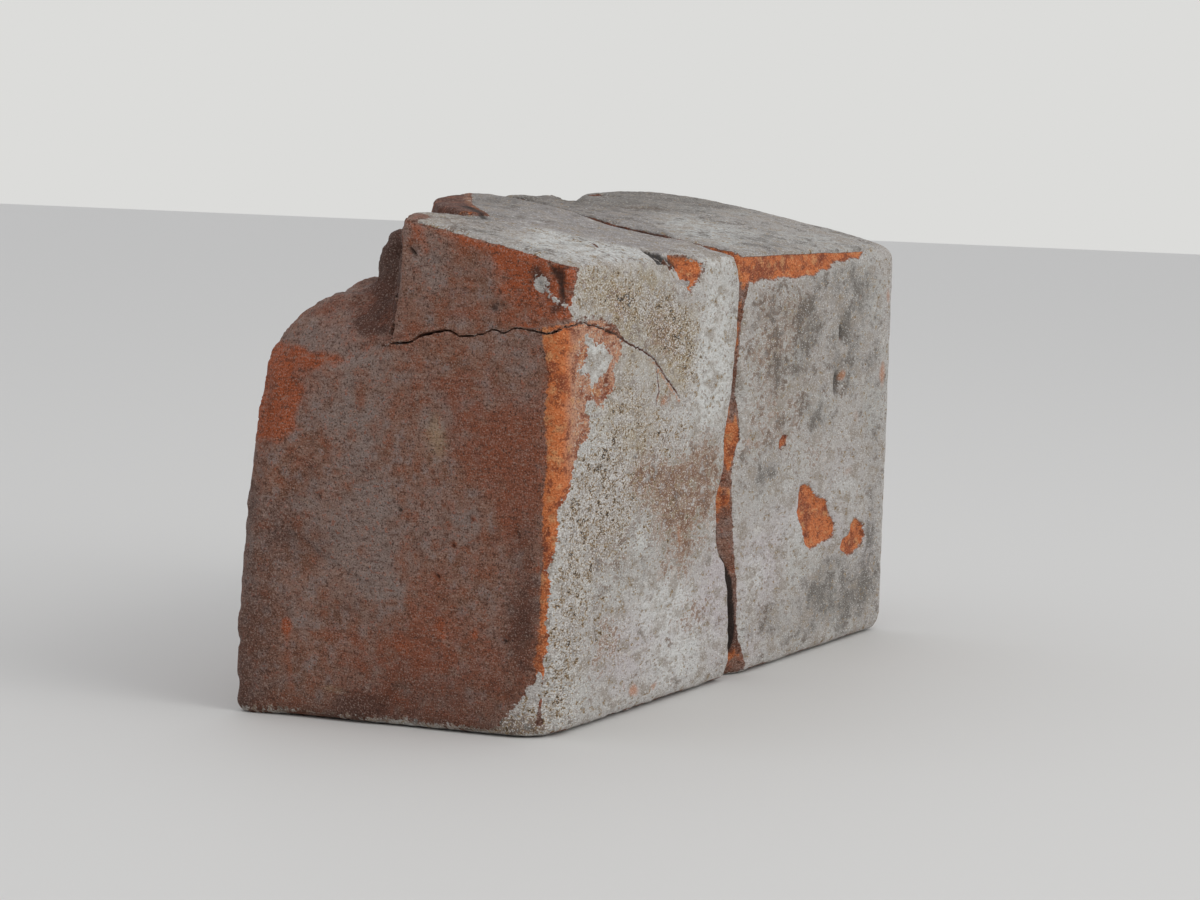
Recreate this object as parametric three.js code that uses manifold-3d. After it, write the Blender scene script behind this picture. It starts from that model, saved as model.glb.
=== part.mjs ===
// A hand-moulded solid clay brick, standing on one long narrow side (its stretcher face). It has
// broken across near the middle of its length, and the two halves stand together again. One corner
// of the front half is cracked, and the shoulder behind that corner has broken away.
//
// Millimetres, +Z up. X runs through the thickness, from the bare bed face (-X) to the limed bed
// face (+X). Y runs along the length, from the near header (-Y) to the far header (+Y).

import * as THREE from 'three';
import { ImprovedNoise } from 'three/addons/math/ImprovedNoise.js';
import { mergeVertices } from 'three/addons/utils/BufferGeometryUtils.js';
import Module from 'manifold-3d';

const wasm = await Module();
wasm.setup();

// ---- driving dimensions ---------------------------------------------------------------------

// The moulded block.
const LENGTH = 229; // header to header
const THICKNESS = 76; // bed face to bed face, at the foot
const HEIGHT = 116; // foot to the highest part of the upper stretcher face
const TOP_FALL = 12.7; // how much lower that face lies along the limed bed face
const TOP_CROWN = 1.7; // power of the fall across the thickness: 1 is flat, more is crowned
const BED_LEAN = 2.4; // how far the limed bed face leans out at the header's upper corner
const TOP_WAVE = 0.7; // how uneven the upper face is
const TOP_WAVE_SPACING = 42; // distance between its hollows
const TOP_WAVE_FADE = 30; // how far down the sides the unevenness dies out

// Rounding of the arrises, worn and moulded.
const FOOT_ARRIS = 3; // the two long edges at the foot
const LIMED_ARRIS = 2.6; // the long upper edge on the limed side
const BARE_ARRIS = 6; // the long upper edge on the bare side
const HEADER_ARRIS = 4; // upright edges of the near header
const HEADER_FOOT_CORNER = 7; // extra rounding of the limed one at the foot
const HEADER_FOOT_HEIGHT = 26; // height over which that extra rounding dies out
const HEADER_TOP_ARRIS = 2.5; // upper edge of the near header
const HEADER_FOOT_ARRIS = 2.5; // lower edge of the near header
const FAR_UPRIGHT_ARRIS = 5; // upright edges of the far header
const FAR_CORNER = 9; // upper and lower edges of the far header

// The break across.
const FRONT_LENGTH = 113; // near header to the break, at the foot of the limed bed face
const BREAK_GAP = 0.8; // clear distance between the halves, along the length
const BREAK_SLOPE = 0.045; // how the break leans to the near header as it rises
const BREAK_BELLY = 10; // how far it swings to the near header on the limed bed face
const BELLY_HEIGHT = 43; // height of that swing
const BELLY_REACH = 19; // half its height
const BELLY_INSIDE = 0.35; // share of that swing left on the bare bed face
const TOP_BOW = 17; // how far it swings to the near header across the upper face
const TOP_BOW_INSET = 31; // distance of that swing from the limed bed face
const TOP_BOW_REACH = 18; // half its width
const BREAK_ROUGHNESS = 1.5; // height of the lumps on the broken clay
const BREAK_GRAIN = 13; // spacing of those lumps

// The groove that crumbling has opened in the rear half, along the break on the limed bed face.
const GROOVE_WIDTH = 3.9;
const GROOVE_DEPTH = 5.5;
const GROOVE_SPALLS = [
  { height: 79, wider: -2.6, reach: 5 },
  { height: 67, wider: 4.5, reach: 5 },
  { height: 58, wider: 5.5, reach: 4 },
  { height: 39, wider: 6, reach: 8 },
  { height: 3, wider: 6.5, reach: 5 },
];
const GROOVE_NARROWEST = 0.5;
const GROOVE_TAPER = 1.4; // power of its narrowing inwards: 1 is a plain V
const SPALL_DEPTH = 0.4; // share of a spall's extra width that it also goes deeper
const RIM_WEAR = 0.9; // crumbled rim of the front half's break
const REAR_RIM_WEAR = 0.45; // and of the rear half's
const RIM_REACH = 3; // how far in from the faces the rim wear goes
const RIM_UNEVENNESS = 0.8; // share by which that wear varies
const RIM_GRAIN = 9;
const RIM_CORNER = 3.6; // rounding of the front half's corners where the break meets the limed arrises

// The broken shoulder: clay lost from the bare upper arris, from the near header backwards.
// Its edge on the upper face is given by distances from the near header and the bare bed face.
const SHOULDER_EDGE = [
  { along: 0, inset: 39 },
  { along: 12, inset: 35 },
  { along: 20, inset: 35 },
  { along: 30, inset: 41 },
  { along: 38, inset: 29 },
  { along: 56, inset: 19 },
  { along: 81, inset: 15 },
  { along: 112, inset: 14 },
  { along: 148, inset: 9 },
  { along: 166, inset: 17 },
  { along: 179, inset: 23 },
  { along: 184, inset: 0 },
  { along: 196, inset: -6 },
];
const SHOULDER_WALL = 18; // height of the steep wall below that edge, at the header
const SHOULDER_WALL_FAR = 3; // the same further back
const WALL_RUN = 5; // how far the wall takes to come down
const SHOULDER_FADE_START = 60; // distance from the header where it starts to get shallower
const SHOULDER_FADE_END = 130; // and where it has
const SHELF_SLOPE = 0.2; // fall of the shelf below the wall, at the header
const SHELF_SLOPE_FAR = 0.5; // the same further back
const SHELF_ROUND_START = 17.5; // where the shelf starts to round over towards the bare bed face
const SHELF_ROUND = 0.045; // how fast it rounds over
const HEADER_CHAMFER = 14; // how far back the break slopes up from the header
const HEADER_CHAMFER_DROP = 12; // and how deep it is there
const HEADER_CHAMFER_CURVE = 1.4; // power of that slope: 1 is straight, more is hollow
const HEADER_CHAMFER_GROWTH = 0.25; // deeper by this share of the distance from the edge
const KNOB_HEIGHT = 13; // the knob of clay left standing behind the header
const KNOB_ALONG = 22; // its middle, from the near header
const KNOB_INSET = 28.4; // and from the bare bed face
const KNOB_REACH = 6; // half its width
const KNOB_STEEPNESS = 6; // power of its flanks: 2 is a soft mound, more is a steep one
const CORNER_WEAR_FROM = 26; // height at which the header's bare upright edge starts to be worn
const CORNER_WEAR_STEEPNESS = 8; // rise of that wear for each millimetre in from the corner
const SHOULDER_ROUGHNESS = 1.1;
const SHOULDER_GRAIN = 7.5;

// The corner crack: a slit that runs in under the near upper corner and dies out.
const CRACK_START = 3.3; // how high it starts above the foot of the shoulder's wall, on the header
const CRACK_RISE = 4.6; // how much higher it reaches the limed bed face
const CRACK_EARLY_RISE = 0.6; // share of that rise in the first stretch
const CRACK_EARLY_REACH = 0.35; // length of that stretch, as a share of the way across
const CRACK_HUMP = 1.3; // how much it arches just behind the header
const CRACK_HUMP_ALONG = 10; // where, from the near header
const CRACK_HUMP_REACH = 7.4;
const CRACK_FALL = 17.5; // how far it comes down along that face
const CRACK_WIDTH = 0.75; // opening at the header
const CRACK_TIP_WIDTH = 0.12;
const CRACK_LIGAMENT = 39; // sound clay between the end of the crack and the break across
const CRACK_SHOULDER_REACH = 27; // how far back it goes on the shoulder's side
const CRACK_CLIMB = 11; // how far it climbs to the foot of the shoulder's wall
const CRACK_CLIMB_REACH = 0.5; // width of that climb, as a share of the way across
const CRACK_EXIT = 1.6; // how steeply it runs out over the shoulder's shelf
const CRACK_WANDER = 0.9;
const CRACK_GRAIN = 6;

// Chips knocked out of the arrises. Length, height and depth are half sizes.
const LIMED_CHIP = { fromBreak: 41, length: 12.5, height: 7, depth: 3.4 };
const BARE_FOOT_CHIP = { fromFarHeader: 61, length: 13, height: 6, depth: 4 };
const FAR_FOOT_CHIP = { fromBareFace: 24, length: 10, height: 5, depth: 4 };
const CHIP_ROUGHNESS = 0.16; // lumps on a chip, as a share of its half size
const CHIP_GRAIN = 0.8;

// Colours: weathered red-brown clay in front, grey-white lime residue behind.
const WEATHERED_CLAY = 0x99675a;
const LIMED_CLAY = 0xb5aea6;
const CLAY_ROUGHNESS = 0.95;

// Spacing of the facets.
const FACE_STEP = 10;
const CROWN_STEP = 7;
const ARC_STEPS = 4;
const BREAK_ROW = 2.6;
const BREAK_COLUMN = 5.4;
const GROOVE_COLUMN = 2.1;
const SHOULDER_STEP = 3.2;
const SHOULDER_COLUMNS = 19;
const COLUMN_CROWDING = 1.25; // power that sets the shoulder's columns closer at its edge
const CRACK_STEP = 4;
const CHIP_SUBDIVISION = 2;
const OUTSIDE = 6; // how far a cutting tool reaches past the block

// Which lumps of the noise each surface has.
const PATTERN = { top: 3, break: 11, rim: 23, shoulder: 31, crack: 41, limed: 51, bare: 57, far: 61 };
const PATTERN_SPACING = 7.31;
const NOISE_GAIN = 1.5; // brings the noise to about -1 to 1
const FINE_LUMPS = 0.4; // height of broken clay's smaller lumps, as a share of the larger
const FINE_RATIO = 2.6; // and how many times closer they are

// ---- small helpers --------------------------------------------------------------------------

const { lerp, smoothstep, clamp } = THREE.MathUtils;
const clayNoise = new ImprovedNoise();

const LIMED_FACE = THICKNESS / 2;
const BARE_FACE = -THICKNESS / 2;
const NEAR_HEADER = -LENGTH / 2;
const FAR_HEADER = LENGTH / 2;
const END_OF_CRACK = FRONT_LENGTH - CRACK_LIGAMENT;

// Smooth lumps of about -1 to 1, one every `grain` millimetres.
function lumps(a, b, grain, pattern) {
  return NOISE_GAIN * clayNoise.noise(a / grain, b / grain, pattern * PATTERN_SPACING);
}

// Two sizes of lumps together, as broken clay has.
function brokenClay(a, b, grain, pattern) {
  return lumps(a, b, grain, pattern) + FINE_LUMPS * lumps(a, b, grain / FINE_RATIO, pattern + 1);
}

// 1 at zero, dying out smoothly at about twice `reach`.
function swell(distance, reach) {
  return Math.exp(-((distance / reach) ** 2));
}

// How far a face draws back, `distance` in from an edge that is rounded to `radius`.
function roundingInset(radius, distance) {
  const left = Math.max(0, radius - distance);
  return radius - Math.sqrt(radius * radius - left * left);
}

// Even steps from one value to another, no longer than `step`.
function steps(from, to, step) {
  const count = Math.max(2, Math.ceil(Math.abs(to - from) / step));
  return Array.from({ length: count + 1 }, (_, index) => lerp(from, to, index / count));
}

// A closed solid from points and triangles, turned right side out.
function solidFrom(points, triangles) {
  let volume = 0;
  for (const [a, b, c] of triangles) {
    volume += points[a].dot(new THREE.Vector3().crossVectors(points[b], points[c]));
  }
  const outward = volume > 0 ? triangles : triangles.map(([a, b, c]) => [a, c, b]);
  const vertProperties = new Float32Array(points.flatMap((point) => point.toArray()));
  const triVerts = new Uint32Array(outward.flat());
  return new wasm.Manifold(new wasm.Mesh({ numProp: 3, vertProperties, triVerts }));
}

// The solid between two surfaces that share one grid of rows and columns.
function solidBetween(rowCount, columnCount, lower, upper) {
  const points = [];
  for (const surface of [lower, upper]) {
    for (let row = 0; row < rowCount; row += 1) {
      for (let column = 0; column < columnCount; column += 1) {
        points.push(surface(row, column));
      }
    }
  }
  const layer = rowCount * columnCount;
  const triangles = [];
  const quad = (a, b, c, d) => triangles.push([a, b, c], [a, c, d]);
  for (let row = 0; row + 1 < rowCount; row += 1) {
    for (let column = 0; column + 1 < columnCount; column += 1) {
      const a = row * columnCount + column;
      quad(a, a + 1, a + columnCount + 1, a + columnCount);
      quad(layer + a, layer + a + columnCount, layer + a + columnCount + 1, layer + a + 1);
    }
  }
  const rim = [];
  for (let column = 0; column + 1 < columnCount; column += 1) rim.push(column);
  for (let row = 0; row + 1 < rowCount; row += 1) rim.push(row * columnCount + columnCount - 1);
  for (let column = columnCount - 1; column > 0; column -= 1) {
    rim.push((rowCount - 1) * columnCount + column);
  }
  for (let row = rowCount - 1; row > 0; row -= 1) rim.push(row * columnCount);
  rim.forEach((a, index) => {
    const b = rim[(index + 1) % rim.length];
    quad(a, layer + a, layer + b, b);
  });
  return solidFrom(points, triangles);
}

// ---- the moulded block ----------------------------------------------------------------------

// Height of the upper stretcher face at a distance from the middle of the thickness.
function topHeight(x) {
  const across = Math.max(0, (x - BARE_FACE) / THICKNESS);
  return HEIGHT - TOP_FALL * across ** TOP_CROWN;
}

// How far the limed bed face leans out at a height and a place along the length.
function bedLean(y, z) {
  const towardsHeader = 1 - smoothstep(y, NEAR_HEADER, NEAR_HEADER + FRONT_LENGTH);
  return BED_LEAN * towardsHeader * z / (HEIGHT - TOP_FALL);
}

// A corner of the section as a quadratic curve from one point to another.
function corner(from, control, to) {
  const curve = new THREE.QuadraticBezierCurve(from, control, to);
  return curve.getPoints(ARC_STEPS).slice(1, -1);
}

// The block's section across the length: foot, limed side, crowned top, bare side.
function blockSection() {
  const at = (x, z) => new THREE.Vector2(x, z);
  const limedTop = topHeight(LIMED_FACE);
  const limedShoulder = topHeight(LIMED_FACE - LIMED_ARRIS);
  const bareTop = topHeight(BARE_FACE);
  const bareShoulder = topHeight(BARE_FACE + BARE_ARRIS);
  const foot = steps(BARE_FACE + FOOT_ARRIS, LIMED_FACE - FOOT_ARRIS, FACE_STEP);
  const limedSide = steps(FOOT_ARRIS, limedTop - LIMED_ARRIS, FACE_STEP);
  const top = steps(LIMED_FACE - LIMED_ARRIS, BARE_FACE + BARE_ARRIS, CROWN_STEP);
  const bareSide = steps(bareTop - BARE_ARRIS, FOOT_ARRIS, FACE_STEP);
  return [
    ...foot.map((x) => at(x, 0)),
    ...corner(at(LIMED_FACE - FOOT_ARRIS, 0), at(LIMED_FACE, 0), at(LIMED_FACE, FOOT_ARRIS)),
    ...limedSide.map((z) => at(LIMED_FACE, z)),
    ...corner(
      at(LIMED_FACE, limedTop - LIMED_ARRIS),
      at(LIMED_FACE, limedTop),
      at(LIMED_FACE - LIMED_ARRIS, limedShoulder),
    ),
    ...top.map((x) => at(x, topHeight(x))),
    ...corner(
      at(BARE_FACE + BARE_ARRIS, bareShoulder),
      at(BARE_FACE, bareTop),
      at(BARE_FACE, bareTop - BARE_ARRIS),
    ),
    ...bareSide.map((z) => at(BARE_FACE, z)),
    ...corner(at(BARE_FACE, FOOT_ARRIS), at(BARE_FACE, 0), at(BARE_FACE + FOOT_ARRIS, 0)),
  ];
}

// Rounding of a header's upright edges, which is larger at the near header's foot.
function uprightRadius(isNear, isLimed, z) {
  if (!isNear) return FAR_UPRIGHT_ARRIS;
  if (!isLimed) return HEADER_ARRIS;
  return HEADER_ARRIS + HEADER_FOOT_CORNER * (1 - smoothstep(z, 0, HEADER_FOOT_HEIGHT));
}

// A point of the section moved to its place along the length, drawn in at the rounded ends.
function blockPoint(section, y) {
  const isNear = y < 0;
  const fromEnd = isNear ? y - NEAR_HEADER : FAR_HEADER - y;
  const sideInset = roundingInset(uprightRadius(isNear, section.x > 0, section.y), fromEnd);
  const topInset = roundingInset(isNear ? HEADER_TOP_ARRIS : FAR_CORNER, fromEnd);
  const footInset = roundingInset(isNear ? HEADER_FOOT_ARRIS : FAR_CORNER, fromEnd);
  const lean = section.x > 0 ? bedLean(y, section.y) * section.x / LIMED_FACE : 0;
  const x = section.x * (1 - sideInset / LIMED_FACE) + lean;
  const z = footInset + section.y * (1 - (footInset + topInset) / HEIGHT);
  const nearTop = smoothstep(section.y, HEIGHT - TOP_WAVE_FADE, HEIGHT);
  const wave = TOP_WAVE * Math.abs(lumps(section.x, y, TOP_WAVE_SPACING, PATTERN.top)) * nearTop;
  return new THREE.Vector3(x, y, z - wave);
}

// Places along the length where a section is set: close together at the rounded ends.
function sectionPlaces() {
  const nearRound = Math.max(HEADER_ARRIS + HEADER_FOOT_CORNER, HEADER_TOP_ARRIS, HEADER_FOOT_ARRIS);
  const farRound = Math.max(FAR_UPRIGHT_ARRIS, FAR_CORNER);
  const ease = (share) => 1 - Math.cos(share * Math.PI / 2);
  const roundSteps = ARC_STEPS + 2;
  const shares = Array.from({ length: roundSteps }, (_, index) => ease(index / roundSteps));
  return [
    ...shares.map((share) => NEAR_HEADER + nearRound * share),
    ...steps(NEAR_HEADER + nearRound, FAR_HEADER - farRound, FACE_STEP),
    ...shares.reverse().map((share) => FAR_HEADER - farRound * share),
  ];
}

// The block lofted from header to header, with a flat cap on each.
function mouldedBlock() {
  const section = blockSection();
  const places = sectionPlaces();
  const around = section.length;
  const points = places.flatMap((y) => section.map((point) => blockPoint(point, y)));
  const triangles = [];
  for (let place = 0; place + 1 < places.length; place += 1) {
    for (let index = 0; index < around; index += 1) {
      const next = (index + 1) % around;
      const [a, b] = [place * around + index, place * around + next];
      triangles.push([a, b, b + around], [a, b + around, a + around]);
    }
  }
  const capOutline = points.slice(0, around).map((point) => new THREE.Vector2(point.x, point.z));
  const cap = THREE.ShapeUtils.triangulateShape(capOutline, []);
  const lastRing = (places.length - 1) * around;
  for (const [a, b, c] of cap) {
    triangles.push([a, c, b], [lastRing + a, lastRing + b, lastRing + c]);
  }
  return solidFrom(points, triangles);
}

// ---- the break across -----------------------------------------------------------------------

// Where the middle of the break lies along the length.
function breakPlace(x, z) {
  const towardsLimed = lerp(BELLY_INSIDE, 1, smoothstep(x, BARE_FACE / 2, LIMED_FACE));
  const belly = BREAK_BELLY * towardsLimed * swell(z - BELLY_HEIGHT, BELLY_REACH);
  const bowMiddle = LIMED_FACE - TOP_BOW_INSET;
  const bow = TOP_BOW * swell(x - bowMiddle, TOP_BOW_REACH) * (z / HEIGHT) ** 2;
  const rough = BREAK_ROUGHNESS * brokenClay(x, z, BREAK_GRAIN, PATTERN.break);
  return NEAR_HEADER + FRONT_LENGTH - BREAK_SLOPE * z - belly - bow + rough;
}

// Clay crumbled from the rim of the break, by the distance in from the nearest outer face.
function rimWear(wear, x, z) {
  const fromFace = Math.min(LIMED_FACE - x, x - BARE_FACE, z, topHeight(x) - z);
  const uneven = 1 + RIM_UNEVENNESS * lumps(x, z, RIM_GRAIN, PATTERN.rim);
  return wear * uneven * (1 - smoothstep(fromFace, 0, RIM_REACH));
}

// The front half's rounded corners at the two ends of the groove.
function cornerWear(x, z) {
  const fromFoot = Math.hypot(LIMED_FACE - x, z);
  const fromTop = Math.hypot(LIMED_FACE - x, topHeight(LIMED_FACE) - z);
  return RIM_CORNER * (swell(fromFoot, RIM_CORNER) + swell(fromTop, RIM_CORNER));
}

// The groove in the rear half, widest at the limed bed face.
function groove(x, z) {
  const wider = GROOVE_SPALLS.reduce(
    (sum, spall) => sum + spall.wider * swell(z - spall.height, spall.reach),
    0,
  );
  const width = Math.max(GROOVE_NARROWEST, GROOVE_WIDTH + wider);
  const depth = GROOVE_DEPTH + SPALL_DEPTH * wider;
  const inwards = clamp((LIMED_FACE - x) / depth, 0, 1);
  return width * (1 - inwards) ** GROOVE_TAPER;
}

// Everything on one side of the break, as a tool that leaves the other half.
function breakTool(keepsFront) {
  const grooveFoot = LIMED_FACE - GROOVE_DEPTH - RIM_REACH;
  const columns = [
    ...steps(BARE_FACE - OUTSIDE, grooveFoot, BREAK_COLUMN),
    ...steps(grooveFoot, LIMED_FACE, GROOVE_COLUMN).slice(1),
    LIMED_FACE + OUTSIDE,
  ];
  const rows = steps(-OUTSIDE, HEIGHT + OUTSIDE, BREAK_ROW);
  const farSide = keepsFront ? FAR_HEADER + OUTSIDE : NEAR_HEADER - OUTSIDE;
  const face = (row, column) => {
    const [x, z] = [columns[column], rows[row]];
    const insideX = Math.min(x, LIMED_FACE);
    const frontLoss = rimWear(RIM_WEAR, x, z) + cornerWear(insideX, z);
    const rearLoss = rimWear(REAR_RIM_WEAR, x, z) + groove(insideX, z);
    const offset = keepsFront ? -BREAK_GAP / 2 - frontLoss : BREAK_GAP / 2 + rearLoss;
    return new THREE.Vector3(x, breakPlace(x, z) + offset, z);
  };
  const back = (row, column) => new THREE.Vector3(columns[column], farSide, rows[row]);
  return solidBetween(rows.length, columns.length, face, back);
}

// ---- the broken shoulder --------------------------------------------------------------------

// The edge of the broken shoulder on the upper face, at a distance from the near header.
function shoulderEdge(along) {
  const last = SHOULDER_EDGE.length - 1;
  const found = SHOULDER_EDGE.findIndex((point) => point.along > along);
  const next = clamp(found < 0 ? last : found, 1, last);
  const [from, to] = [SHOULDER_EDGE[next - 1], SHOULDER_EDGE[next]];
  const share = clamp((along - from.along) / (to.along - from.along), 0, 1);
  return BARE_FACE + lerp(from.inset, to.inset, share);
}

// Height of the broken clay, by the distance from the header and out from that edge.
function shoulderHeight(along, outwards) {
  const x = shoulderEdge(along) - outwards;
  const y = NEAR_HEADER + along;
  if (outwards <= 0) return topHeight(x) + OUTSIDE;
  const further = smoothstep(along, SHOULDER_FADE_START, SHOULDER_FADE_END);
  const wallHeight = lerp(SHOULDER_WALL, SHOULDER_WALL_FAR, further);
  const slope = lerp(SHELF_SLOPE, SHELF_SLOPE_FAR, further);
  const wallShare = Math.min(1, outwards / WALL_RUN);
  const wall = wallHeight * (1 - (1 - wallShare) ** 2);
  const roundOver = SHELF_ROUND * Math.max(0, outwards - SHELF_ROUND_START) ** 2;
  const chamferStart = Math.max(0, 1 - Math.max(0, along) / HEADER_CHAMFER);
  const chamferShare = chamferStart ** HEADER_CHAMFER_CURVE;
  const chamfer = (HEADER_CHAMFER_DROP + HEADER_CHAMFER_GROWTH * outwards) * chamferShare;
  const knobX = BARE_FACE + KNOB_INSET;
  const fromKnob = Math.hypot(x - knobX, along - KNOB_ALONG) / KNOB_REACH;
  const knob = KNOB_HEIGHT * Math.exp(-(fromKnob ** KNOB_STEEPNESS));
  const lumpy = brokenClay(x, y, SHOULDER_GRAIN, PATTERN.shoulder);
  const rough = SHOULDER_ROUGHNESS * lumpy * wallShare;
  const broken = topHeight(x) - wall - slope * outwards - roundOver - chamfer + knob + rough;
  const fromCorner = (x - BARE_FACE + along) / Math.SQRT2;
  const arrisStart = HEADER_ARRIS * (Math.SQRT2 - 1);
  const worn = CORNER_WEAR_FROM + CORNER_WEAR_STEEPNESS * (fromCorner - arrisStart);
  return Math.max(CORNER_WEAR_FROM / 2, Math.min(broken, worn));
}

// The clay that has gone from the shoulder, as a tool.
function shoulderTool() {
  const reach = SHOULDER_EDGE[SHOULDER_EDGE.length - 1].along;
  const rows = steps(-OUTSIDE, reach, SHOULDER_STEP);
  const outwardsAt = (along, column) => {
    const furthest = Math.max(1, shoulderEdge(along) - BARE_FACE + OUTSIDE);
    const share = Math.max(0, column - 1) / (SHOULDER_COLUMNS - 2);
    return column === 0 ? -OUTSIDE / 2 : furthest * share ** COLUMN_CROWDING;
  };
  const place = (row, column) => {
    const outwards = outwardsAt(rows[row], column);
    return { outwards, x: shoulderEdge(rows[row]) - outwards, y: NEAR_HEADER + rows[row] };
  };
  const floor = (row, column) => {
    const { outwards, x, y } = place(row, column);
    return new THREE.Vector3(x, y, shoulderHeight(rows[row], outwards));
  };
  const ceiling = (row, column) => {
    const { x, y } = place(row, column);
    return new THREE.Vector3(x, y, HEIGHT + 2 * OUTSIDE);
  };
  return solidBetween(rows.length, SHOULDER_COLUMNS, floor, ceiling);
}

// ---- the corner crack -----------------------------------------------------------------------

// Height of the crack at a place in plan. It starts at the foot of the shoulder's wall.
function crackHeight(x, along) {
  const wallFoot = shoulderEdge(0) - WALL_RUN;
  const start = shoulderHeight(0, WALL_RUN) + CRACK_START;
  const across = Math.max(0, (x - wallFoot) / (LIMED_FACE - wallFoot));
  const early = smoothstep(across, 0, CRACK_EARLY_REACH);
  const rise = CRACK_RISE * lerp(across, early, CRACK_EARLY_RISE);
  const fall = CRACK_FALL * (along / END_OF_CRACK) ** 2 * across;
  const hump = CRACK_HUMP * swell(along - CRACK_HUMP_ALONG, CRACK_HUMP_REACH);
  const atShoulder = 1 - smoothstep(across, 0, CRACK_CLIMB_REACH);
  const climb = CRACK_CLIMB * smoothstep(along, 0, HEADER_CHAMFER) * atShoulder;
  const outside = Math.max(0, shoulderEdge(along) - WALL_RUN - x);
  const wander = CRACK_WANDER * lumps(x, along, CRACK_GRAIN, PATTERN.crack);
  return start + rise - fall + hump + climb + CRACK_EXIT * outside + wander;
}

// The slit itself, which thins to nothing along its inner edge.
function crackTool() {
  const from = shoulderEdge(0) - WALL_RUN - CRACK_STEP;
  const columns = steps(from, LIMED_FACE + BED_LEAN + CRACK_STEP / 2, CRACK_STEP);
  const rowCount = Math.ceil(END_OF_CRACK / CRACK_STEP);
  const place = (row, column) => {
    const x = columns[column];
    const across = clamp((x - from) / (LIMED_FACE - from), 0, 1);
    const end = lerp(CRACK_SHOULDER_REACH, END_OF_CRACK, across);
    const share = row / (rowCount - 1);
    const along = lerp(-OUTSIDE / 2, end, share);
    const half = lerp(CRACK_WIDTH, CRACK_TIP_WIDTH, share) / 2;
    return { x, along, half };
  };
  const skin = (side) => (row, column) => {
    const { x, along, half } = place(row, column);
    return new THREE.Vector3(x, NEAR_HEADER + along, crackHeight(x, along) + side * half);
  };
  return solidBetween(rowCount, columns.length, skin(-1), skin(1));
}

// ---- chips ----------------------------------------------------------------------------------

// A rough lump of the size of a chip, centred on an arris.
function chipTool(centre, radii, pattern) {
  const ball = new THREE.IcosahedronGeometry(1, CHIP_SUBDIVISION);
  ball.deleteAttribute('normal');
  ball.deleteAttribute('uv');
  const shape = mergeVertices(ball);
  const position = shape.getAttribute('position');
  const points = Array.from({ length: position.count }, (_, index) => {
    const unit = new THREE.Vector3().fromBufferAttribute(position, index);
    const rough = 1 + CHIP_ROUGHNESS * lumps(unit.x + unit.z, unit.y, CHIP_GRAIN, pattern);
    return unit.multiplyScalar(rough).multiply(radii).add(centre);
  });
  const corners = Array.from(shape.getIndex().array);
  const triangles = Array.from({ length: corners.length / 3 }, (_, index) => {
    return corners.slice(3 * index, 3 * index + 3);
  });
  return solidFrom(points, triangles);
}

function limedChip() {
  const { fromBreak, length, height, depth } = LIMED_CHIP;
  const y = NEAR_HEADER + FRONT_LENGTH - fromBreak;
  const z = topHeight(LIMED_FACE);
  const centre = new THREE.Vector3(LIMED_FACE + bedLean(y, z), y, z);
  return chipTool(centre, new THREE.Vector3(depth, length, height), PATTERN.limed);
}

function bareFootChip() {
  const { fromFarHeader, length, height, depth } = BARE_FOOT_CHIP;
  const centre = new THREE.Vector3(BARE_FACE, FAR_HEADER - fromFarHeader, 0);
  return chipTool(centre, new THREE.Vector3(depth, length, height), PATTERN.bare);
}

function farFootChip() {
  const { fromBareFace, length, height, depth } = FAR_FOOT_CHIP;
  const centre = new THREE.Vector3(BARE_FACE + fromBareFace, FAR_HEADER, FAR_CORNER / 3);
  return chipTool(centre, new THREE.Vector3(length, depth, height), PATTERN.far);
}

// ---- the two halves -------------------------------------------------------------------------

function toGeometry(solid) {
  const { vertProperties, triVerts } = solid.getMesh();
  const geometry = new THREE.BufferGeometry();
  geometry.setAttribute('position', new THREE.BufferAttribute(vertProperties, 3));
  geometry.setIndex(new THREE.BufferAttribute(triVerts, 1));
  geometry.computeVertexNormals();
  return geometry;
}

function half(name, solid, color) {
  const look = { color, roughness: CLAY_ROUGHNESS, metalness: 0 };
  const material = new THREE.MeshStandardMaterial(look);
  const mesh = new THREE.Mesh(toGeometry(solid), material);
  mesh.name = name;
  return mesh;
}

const worn = mouldedBlock().subtract(shoulderTool());
const frontSolid = worn.subtract(breakTool(true)).subtract(crackTool()).subtract(limedChip());
const rearSolid = worn.subtract(breakTool(false)).subtract(bareFootChip()).subtract(farFootChip());

const brick = new THREE.Group();
brick.add(half('front_half', frontSolid, WEATHERED_CLAY));
brick.add(half('rear_half', rearSolid, LIMED_CLAY));

// The origin is the middle of the brick's footprint, on the surface it stands on.
const extent = new THREE.Box3().setFromObject(brick);
const middle = extent.getCenter(new THREE.Vector3());
brick.position.set(-middle.x, -middle.y, -extent.min.z);

export default brick;
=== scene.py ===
"""An old hand-moulded solid clay brick, standing on one long narrow side.

It broke across near the middle and the two halves stand together again. One corner of the front
half is cracked, the shoulder behind it is lost, and lime clings to one bed face and to the top.
The shapes are worked out in millimetres, in the row frame, and laid down in metres.
"""

from itertools import product

import bpy
import numpy as np
import openvdb
from mathutils import Matrix, Vector
from mathutils.bvhtree import BVHTree


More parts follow.
